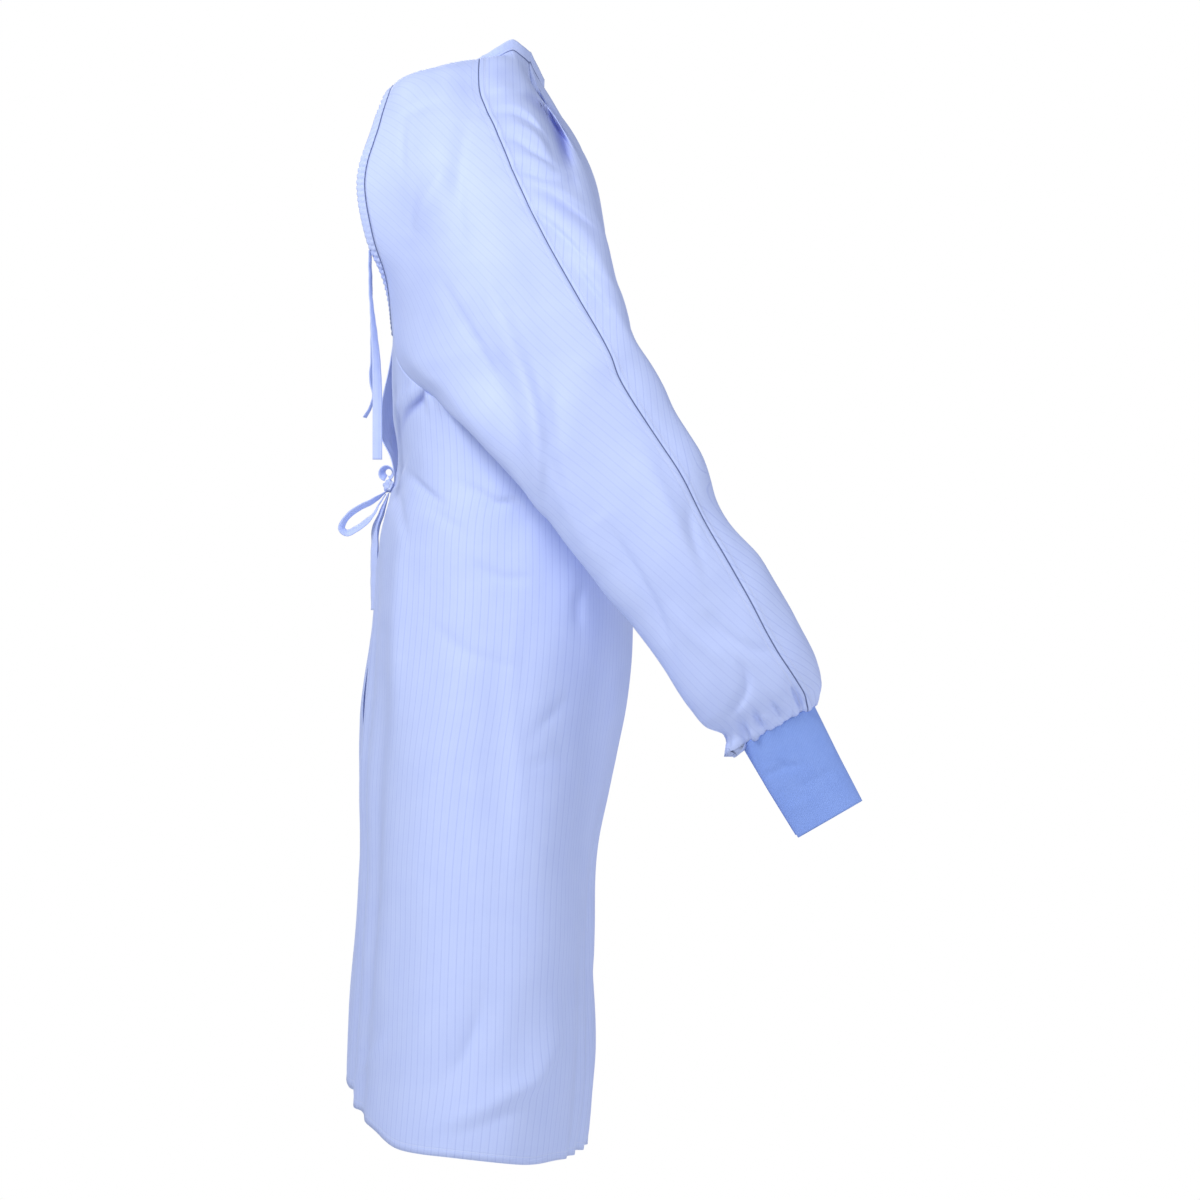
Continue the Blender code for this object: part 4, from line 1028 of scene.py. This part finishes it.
# how far the free back edges lie further back than the section there, and the hem higher up
Shift = namedtuple("Shift", "y z tall wide side")
EDGE_SHIFTS = [
    Shift(-3.5, -665, 45, 34, 0),
    Shift(-5, -452, 26, 30, 0),
    Shift(7, -360, 34, 34, 1),
]
Lift = namedtuple("Lift", "y wide height")
HEM_LIFTS = [Lift(60, 90, 3.2), Lift(117, 13, 5), Lift(141, 9, -10), Lift(-72, 22, 6.5)]
HEM_LIFT_REACH = 70    # how far above the hem

panel = body_piece()
height = (panel[1:, :, 2] + panel[:-1, :, 2]).mean(axis=1) / 2
place = (panel[:, 1:, 1] + panel[:, :-1, 1]).mean(axis=0) / 2
panel = finer(panel, np.where(height > FINE_ABOVE, *BODY_FINE_ROWS),
              np.where(place > FINE_BEHIND, *BODY_FINE_COLUMNS))
columns = panel.shape[1]
middle = columns // 2
ring = np.stack([ring_angle(row) for row in panel])
over = measure(panel, 1)
cut_across = np.zeros(panel.shape[:2])
for row in range(len(panel)):
    for sign, part in ((1, slice(0, middle + 1)), (-1, slice(middle, columns))):
        angle, reach = np.abs(ring[row, part]), over[row, part]
        order = np.argsort(angle)
        side_line = np.interp(90, angle[order], reach[order])
        width = max(np.abs(over[row, middle] - side_line) - SPREAD_FROM, 1)
        from_side = (reach - side_line) * sign
        fan = SPREAD_FROM + (from_side - SPREAD_FROM) * SPREAD_WIDTH / width
        cut_across[row, part] = np.where(from_side > SPREAD_FROM, fan, from_side)
hem_away = measure(panel, 0)
edge_away = np.minimum(over, over[:, -1:] - over)
stitched = np.minimum(hem_away, edge_away) - (HEM_STITCH - STITCH_AT)
dip = HEM_DIP * np.exp(-((stitched - STITCH_AT) / HEM_DIP_WIDTH) ** 2)
panel -= outward(panel) * dip[..., None]
wander(panel)
for side, folds in (("right", BODY_FOLDS), ("left", other_way(BODY_FOLDS, True)),
                    ("front", FRONT_FOLDS), ("back", BACK_FOLDS)):
    draw_folds(panel, folds, side)
for shift in EDGE_SHIFTS:
    height = np.exp(-((panel[..., 2] - shift.z) / shift.tall) ** 2)
    kept = np.clip(panel[..., 0] * shift.side + 0.5, 0, 1) if shift.side else 1
    panel[..., 1] += shift.y * height * kept * np.exp(-(edge_away / shift.wide) ** 2)
for lift in HEM_LIFTS:
    away = (panel[..., 1] - lift.y) / lift.wide
    panel[..., 2] += lift.height * np.exp(-away ** 2 - (hem_away / HEM_LIFT_REACH) ** 2)
# how far the shoulder hollow and the folds at the knot sink the panel, which sets their painted
# shade
fold_shade_depth = panel[..., 0].copy()
for side in ("right", "left"):
    draw_folds(panel, other_way(SHOULDER_FOLDS + KNOT_FOLDS, side == "left"), side, straight=True)
fold_shade_depth = np.maximum((fold_shade_depth - panel[..., 0]) * np.sign(fold_shade_depth), 0)
on_seam = np.clip((np.abs(panel[-1, :, 0]) - NECK_HALF) / NECK_SEAM_FADE, 0, 1)
join(panel[::-1], [sewn[name][:, -1] for name in SLEEVES], within=PANEL_WITHIN, share=on_seam)
sew("body_panel", panel, (cut_across, panel[..., 2]), (stitched, over + hem_away),
    hem_away[-1:] - hem_away + NO_SEAM_SHADE * (panel[-1:, :, 1] > 0), striped_cloth,
    fold_shade_depth=fold_shade_depth)


# ---------------------------------------------------------------- neck band and back binding
# A folded strip of the same cloth stands round the neckline, and another binds the free
# edge of each back shoulder. Their stitching draws them into small puckers.
BAND_HEIGHT, BAND = 11.0, 1.8             # height and thickness
BAND_LEAN = 0.985      # share of its foot's width that the band's upper edge has
BAND_TAPER, BAND_END = 0.6, 40.0     # the band grows lower towards its two back ends
PUCKER_PITCH, PUCKER, BAND_PUCKER = 6.4, 0.8, 0.28
BAND_STITCH, BINDING_STITCH = 2.0, 2.5    # from its foot to its row of stitches
BAND_FINE, BINDING_FINE = 1.6, (1.3, 1.2)


def neck_band():
    """The standing band along the whole neckline, from one back corner to the other."""
    def half(row):
        return np.concatenate([edge_raw[row, ::-1], back_raw[row, -2::-1], front_raw[row, 1:]])

    foot = np.concatenate([half(0), half_neck])
    below = np.concatenate([half(1), down_body[seam_columns:]])
    head = foot + [0, 0, BAND_HEIGHT]
    head[:, 0] *= BAND_LEAN
    eased_foot = eased(foot, head, below, BAND)
    rows = np.stack([eased_foot, (eased_foot + head) / 2, head])
    return np.concatenate([mirrored(rows), rows[:, -2::-1]], axis=1)


def pucker(grid, run, height):
    """Puckers across a strip, from distances along it: close, small and uneven."""
    wave = np.sin(run * 2 * math.pi / PUCKER_PITCH + 1.5 * np.sin(run / 23))
    uneven = 0.6 + 0.4 * np.sin(run / 17 + 1)
    grid += outward(grid) * (wave * uneven * height)[..., None]


band = finer(neck_band(), BAND_FINE, BAND_FINE)
run, foot = measure(band, 1), measure(band, 0)
from_end = np.minimum(run, run[:, -1:] - run)
lower = BAND_TAPER * np.exp(-(from_end / BAND_END) ** 2)
band[1:] -= (band[1:] - band[0]) * lower[1:, :, None]
pucker(band, run, BAND_PUCKER)
join(band, [sewn[name][0] for name in SLEEVES] + [panel[-1]])
sew("neck_band", band, (run, foot), (foot + (STITCH_AT - BAND_STITCH), run), foot,
    plain_binding, thickness=BAND)

for side in ("right", "left"):
    strip = finer(placed(edge, side == "left"), *BINDING_FINE)
    run, across = measure(strip, 0), measure(strip, 1)
    pucker(strip, run, PUCKER)
    join(by_columns(strip), [sewn["sleeve_back_" + side][:, -1]])
    stitched = across + (STITCH_AT - BINDING_STITCH)
    sew("edge_binding_" + side, strip, (run, across), (stitched, run), across,
        plain_binding, thickness=BINDING)


# ---------------------------------------------------------------- knitted cuffs
# A tube of fine rib knit in a stronger blue, folded at its mouth and sewn into the sleeve.
# Its ribs run along the arm and it creases softly across.
CUFF_FINE, CUFF_AROUND = 2.2, 120         # size of its cells, and how many go round
AS_IT_IS = 1e3         # a cell size that adds no columns
RIB_PITCH, ROW_PITCH = 1.7 * MM, 1.1 * MM
KNIT_LIGHT = (0.315, 0.465, 0.915)
KNIT_DARK = (0.235, 0.365, 0.82)
KNIT = 1.8             # thickness
CUFF_FOLDS = [
    Fold(-1.2, 3, 5, [(-272, -700), (-286, -694), (-301, -690)]),
    Fold(-1.2, 3, 5, [(-283, -685), (-298, -689), (-314, -688)]),
    Fold(1.0, 5, 8, [(-292, -735), (-310, -728), (-330, -716)]),
    Fold(-0.8, 4, 6, [(-300, -712), (-322, -704), (-345, -690)]),
]

rib_knit = bpy.data.materials.new("rib_knit")
knit = Finish(rib_knit, Roughness=0.85, Sheen_Weight=0.2, Sheen_Roughness=0.6,
              Sheen_Tint=(0.7, 0.82, 1.0, 1), Specular_IOR_Level=0.2)
round_cuff, down_cuff, cuff_spot = knit.map("cut")
ribs = round_cuff.wave(RIB_PITCH)
courses = (down_cuff + ribs * 0.3 * MM).wave(ROW_PITCH)
fuzz = knit.noise(cuff_spot, 420.0, 3.0)
blotch = knit.noise(cuff_spot, 45.0, 2.0)
# painted shade in the valleys between the ribs and the rows, with fuzz and blotches of tone that
# differ at random
rib_shade_and_blotches = (ribs * 0.35 + courses * 0.15 + fuzz * 0.5 + blotch * 0.6 - 0.35).clip()
knit.feed("Base Color", knit.mix(rib_shade_and_blotches, KNIT_DARK, KNIT_LIGHT))
knit.feed("Roughness", 0.78 + fuzz * 0.15)
knit.relief(ribs + courses * 0.4 + fuzz * 0.5, 0.25 * MM, 0.8)

rings = np.stack([oval(section, -90, 270, CUFF_AROUND + 1) for section in CUFF])
for side in ("right", "left"):
    left = side == "left"
    tube = finer(placed(rings, left), CUFF_FINE, AS_IT_IS)
    draw_folds(tube, other_way(CUFF_FOLDS, left), side)
    run, down = measure(tube, 1), measure(tube, 0)
    sew("cuff_" + side, tube, (run, down), (down, run), down, rib_knit,
        thickness=KNIT, closed=True)


# ---------------------------------------------------------------- ties and waist bow
# Flat ties of the gown's cloth, folded and stitched. The pair at the top hangs untied, and
# the waist pair is knotted into a small bow with a long loop, a short one and two ends.
TAPE, TIE_WIDTH = 0.9, 9.5                # thickness and width

# Flat ties: a guide point and the angle of the tape's width, 0 across the gown, 90 in its
# side view.
Tape = namedtuple("Tape", "x y z turn")
TIES = {
    "bow_loop": [
        Tape(-1, 104.8, -417.2, 0), Tape(-5, 110, -421.5, 25), Tape(-10, 117, -426, 46),
        Tape(-13, 127.5, -431, 48), Tape(-15, 139, -438.5, 50), Tape(-16, 146.5, -447, 52),
        Tape(-16, 148.5, -454, 60), Tape(-15, 143.5, -458, 62), Tape(-13, 134, -454, 52),
        Tape(-10, 123.5, -446.5, 45), Tape(-7, 116.5, -439, 20), Tape(-3, 111, -430, 0),
        Tape(-1, 104, -419.4, 0),
    ],
    "bow_tail_right": [
        Tape(-5, 101.8, -418.4, 0), Tape(-6, 106.5, -431, 12), Tape(-6, 112, -444, 20),
        Tape(-5, 115, -452, 28), Tape(-5, 115.5, -466, 35), Tape(-5, 116, -500, 38),
        Tape(-5, 115.5, -535, 38),
    ],
    "bow_tail_left": [
        Tape(5, 101.5, -418.4, 0), Tape(6.5, 107, -436, 20), Tape(6, 113, -452, 30),
        Tape(5.5, 115, -480, 38), Tape(5.5, 115.5, -515, 40),
    ],
    "upper_tie_right": [
        Tape(-137, 120.0, -176, 5), Tape(-131, 119.2, -215, 12), Tape(-127, 116, -250, 30),
        Tape(-122, 113, -290, 60), Tape(-117, 112, -325, 85), Tape(-115, 112, -350, 90),
        Tape(-113, 112, -385, 90),
    ],
    "upper_tie_left": [
        Tape(137, 120.3, -176, 5), Tape(131, 119.4, -215, 10), Tape(128, 119, -250, 12),
        Tape(125, 118.5, -285, 20), Tape(122, 119.5, -305, 20), Tape(120, 117, -322, 15),
        Tape(120, 121, -333, 15), Tape(121, 126, -342, 20),
    ],
}
EYE_CENTRE, EYE_RADIUS = (0, 102.5, -397.8), 5.5      # the short loop is an arc
EYE_FROM, EYE_TO, EYE_POINTS = -75, 255, 30
KNOT = (0, 101, -411)
KNOT_RADII = (6, 6, 7)
WAIST_TIE_LIFT = 4.3   # the waist ties stand off the panel, which leans by WAIST_SLOPE
WAIST_SLOPE = 19
WAIST_TIE_ANGLE = 22   # where round the body they are sewn on
WAIST_TIE = [(24, 1.5), (13, 2.5)]  # out, and how much further off: the points to the knot
TIE_FINE, TIE_COLUMNS = 2.0, 7
TIE_BOW, TIE_CREASE = 0.5, 0.25       # how far a tie bows across its width, and creases
TIE_STITCH = 1.5       # from its borders to their rows of stitches
TIE_CUT, TIE_FLAT = 2.0, 0.01         # where it lies in the cloth's stripes, and its width
tie_cloth = woven("tie_cloth", stripes=0.35)


def tie(name, guides, reference=(1, 0, 0)):
    """A flat tie along its guide points, with the width turned as the table says."""
    guides = np.array(guides, float)
    at = distances(guides[:, :3])
    count = max(6, round(at[-1] / TIE_FINE))
    line = curve(at, guides, np.linspace(0, at[-1], count + 1))
    centre, turn = line[:, :3], np.radians(line[:, 3:])
    tangent = unit(np.gradient(centre, axis=0))
    across = unit(reference - (tangent @ np.array(reference, float))[:, None] * tangent)
    upright = np.cross(tangent, across)
    side = across * np.cos(turn) + upright * np.sin(turn)
    face = np.cross(tangent, side)[:, None]
    places = np.linspace(-0.5, 0.5, TIE_COLUMNS)
    grid = np.stack([centre + side * TIE_WIDTH * place for place in places], axis=1)
    grid += face * np.cos(places * math.pi)[None, :, None] * TIE_BOW
    run = measure(grid, 0)
    grid += face * (TIE_CREASE * np.sin(run / 3.1) * np.sin(run / 11))[..., None]
    width = measure(grid, 1)
    stitched = np.minimum(width, width[:, -1:] - width) + (STITCH_AT - TIE_STITCH)
    sew(name, grid, (width + TIE_CUT, run), (stitched, run), width + NO_SEAM_SHADE, tie_cloth,
        thickness=TAPE)


# share of the table's turn that fits the photo's view of the bow
SHOWN_TURN = {"bow_loop": 0.68, "bow_tail_right": -1.1, "bow_tail_left": -1.1}
for name, guides in TIES.items():
    share = SHOWN_TURN.get(name, 1)
    tie(name, [guide._replace(turn=guide.turn * share) for guide in guides])

EYE_TURN, EYE_BROAD = -48, math.radians(-20)     # its width turns most at this place
round_eye = np.radians(np.linspace(EYE_FROM, EYE_TO, EYE_POINTS))
tie("bow_eye", [Tape(EYE_CENTRE[0], EYE_CENTRE[1] + EYE_RADIUS * math.cos(a),
                     EYE_CENTRE[2] + EYE_RADIUS * math.sin(a),
                     EYE_TURN * (0.55 + 0.45 * math.cos(a - EYE_BROAD))) for a in round_eye])

for side, sign in (("right", -1), ("left", 1)):
    start = body_ring(np.array([WAIST_TIE_ANGLE]), np.array([KNOT[2]]))[0]
    y = start[1] + CLOTH / 2 + TAPE / 2 + WAIST_TIE_LIFT
    lean = -sign * WAIST_SLOPE
    route = [Tape(sign * start[0], y, KNOT[2], lean)]
    route += [Tape(sign * out, y + further, KNOT[2], lean) for out, further in WAIST_TIE]
    route.append(Tape(sign * (KNOT_RADII[0] + SEAM_GAP), KNOT[1], KNOT[2], 0))
    tie("waist_tie_" + side, route, reference=(0, 0, 1))

# the knot: a soft core with a turn of tie wound tight round it
knot = bmesh.new()
bmesh.ops.create_uvsphere(knot, u_segments=40, v_segments=28, radius=1)
for vert in knot.verts:
    x, y, z = vert.co
    wound = 1 + 0.09 * math.sin(7 * z + 3 * x) + 0.05 * math.sin(9 * y - 4 * z)
    vert.co = [(KNOT[axis] + vert.co[axis] * KNOT_RADII[axis] * wound * 0.95) * MM
               for axis in range(3)]
knot_mesh = bpy.data.meshes.new("waist_knot_cloth")
knot.to_mesh(knot_mesh)
knot.free()
knot_mesh.shade_smooth()
for layer in ("cut", "seam", "border"):
    for loop, data in zip(knot_mesh.loops, knot_mesh.uv_layers.new(name=layer).data):
        spot = knot_mesh.vertices[loop.vertex_index].co
        data.uv = (spot.x + spot.y, spot.z)
knot_mesh.materials.append(tie_cloth)
knot_piece = shown("waist_knot_cloth", knot_mesh)
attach(knot_piece, "root")
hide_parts("waist_knot")


# ---------------------------------------------------------------- floor, light and camera
# A plain pale floor far below the hem and soft light from above, mostly from behind the gown.
# A long lens is level with the middle of the gown, on its right.
FLOOR_Z, FLOOR_RADIUS = -1.46, 6
floor_mesh = bpy.data.meshes.new("floor")
ground = bmesh.new()
bmesh.ops.create_circle(ground, cap_ends=True, segments=64, radius=FLOOR_RADIUS)
for vert in ground.verts:
    vert.co.z = FLOOR_Z
ground.to_mesh(floor_mesh)
ground.free()
# the camera sees the floor a little brighter than it is, and the gown gets no light from that
pale_floor = bpy.data.materials.new("pale_floor")
pale = Finish(pale_floor, Base_Color=(0.9, 0.9, 0.9, 1), Roughness=0.9, Emission_Strength=0.4)
pale.feed("Emission Color", pale.out(pale.node("ShaderNodeLightPath"), "Is Camera Ray"))
floor_mesh.materials.append(pale_floor)
shown("floor", floor_mesh)

# the camera sees a white sky, and the gown is lit by a darker one with a blue tint
SKY_TINT, WHITE = (0.82, 0.88, 1.1), (1, 1, 1)
AMBIENT, SEEN = 0.37, 1.0
world = bpy.data.worlds.new("studio")
bpy.context.scene.world = world
sky = Finish(world, "Background")
camera_ray = sky.out(sky.node("ShaderNodeLightPath"), "Is Camera Ray")
sky.feed("Color", sky.mix(camera_ray, SKY_TINT, WHITE))
sky.feed("Strength", camera_ray * (SEEN - AMBIENT) + AMBIENT)

Lamp = namedtuple("Lamp", "name place target width watts")
for lamp in (
        Lamp("key", (-1.9, 1.2, 1.3), (0, -0.1, -0.3), 0.8, 46),
        Lamp("fill", (-3.0, -0.8, 0.0), (0, -0.1, -0.5), 1.4, 13),
        Lamp("front", (-0.5, -3.2, -0.2), (0, -0.1, -0.5), 1.6, 18),
        Lamp("far_side", (2.8, 0.6, 0.8), (0, -0.1, -0.5), 1.6, 36),
        Lamp("inside", (-0.03, -0.02, -0.32), (0.09, 0.1, -0.36), 0.1, 0.06)):
    data = bpy.data.lights.new(lamp.name, "AREA")
    data.shape = "SQUARE"
    data.size = lamp.width
    data.energy = lamp.watts
    light = shown(lamp.name, data)
    light.location = lamp.place
    aim = np.array(lamp.target) - np.array(lamp.place)
    light.rotation_mode = "QUATERNION"
    light.rotation_quaternion = Vector(aim).to_track_quat("-Z", "Y")
    light.visible_camera = False

FRAME_WIDTH, CAMERA_AWAY = 1.2, 40.0
SENSOR = 36.0
VIEW_CENTRE = (0, -0.110, -0.525)
camera_data = bpy.data.cameras.new("camera")
camera_data.sensor_width = SENSOR
camera_data.lens = SENSOR * CAMERA_AWAY / FRAME_WIDTH
camera_data.clip_start = 1
camera_data.clip_end = 100
camera = shown("camera", camera_data)
camera.location = (-CAMERA_AWAY, VIEW_CENTRE[1], VIEW_CENTRE[2])
camera.rotation_euler = (math.radians(90), 0, math.radians(-90))
bpy.context.scene.camera = camera

bpy.context.scene.view_settings.view_transform = "Standard"
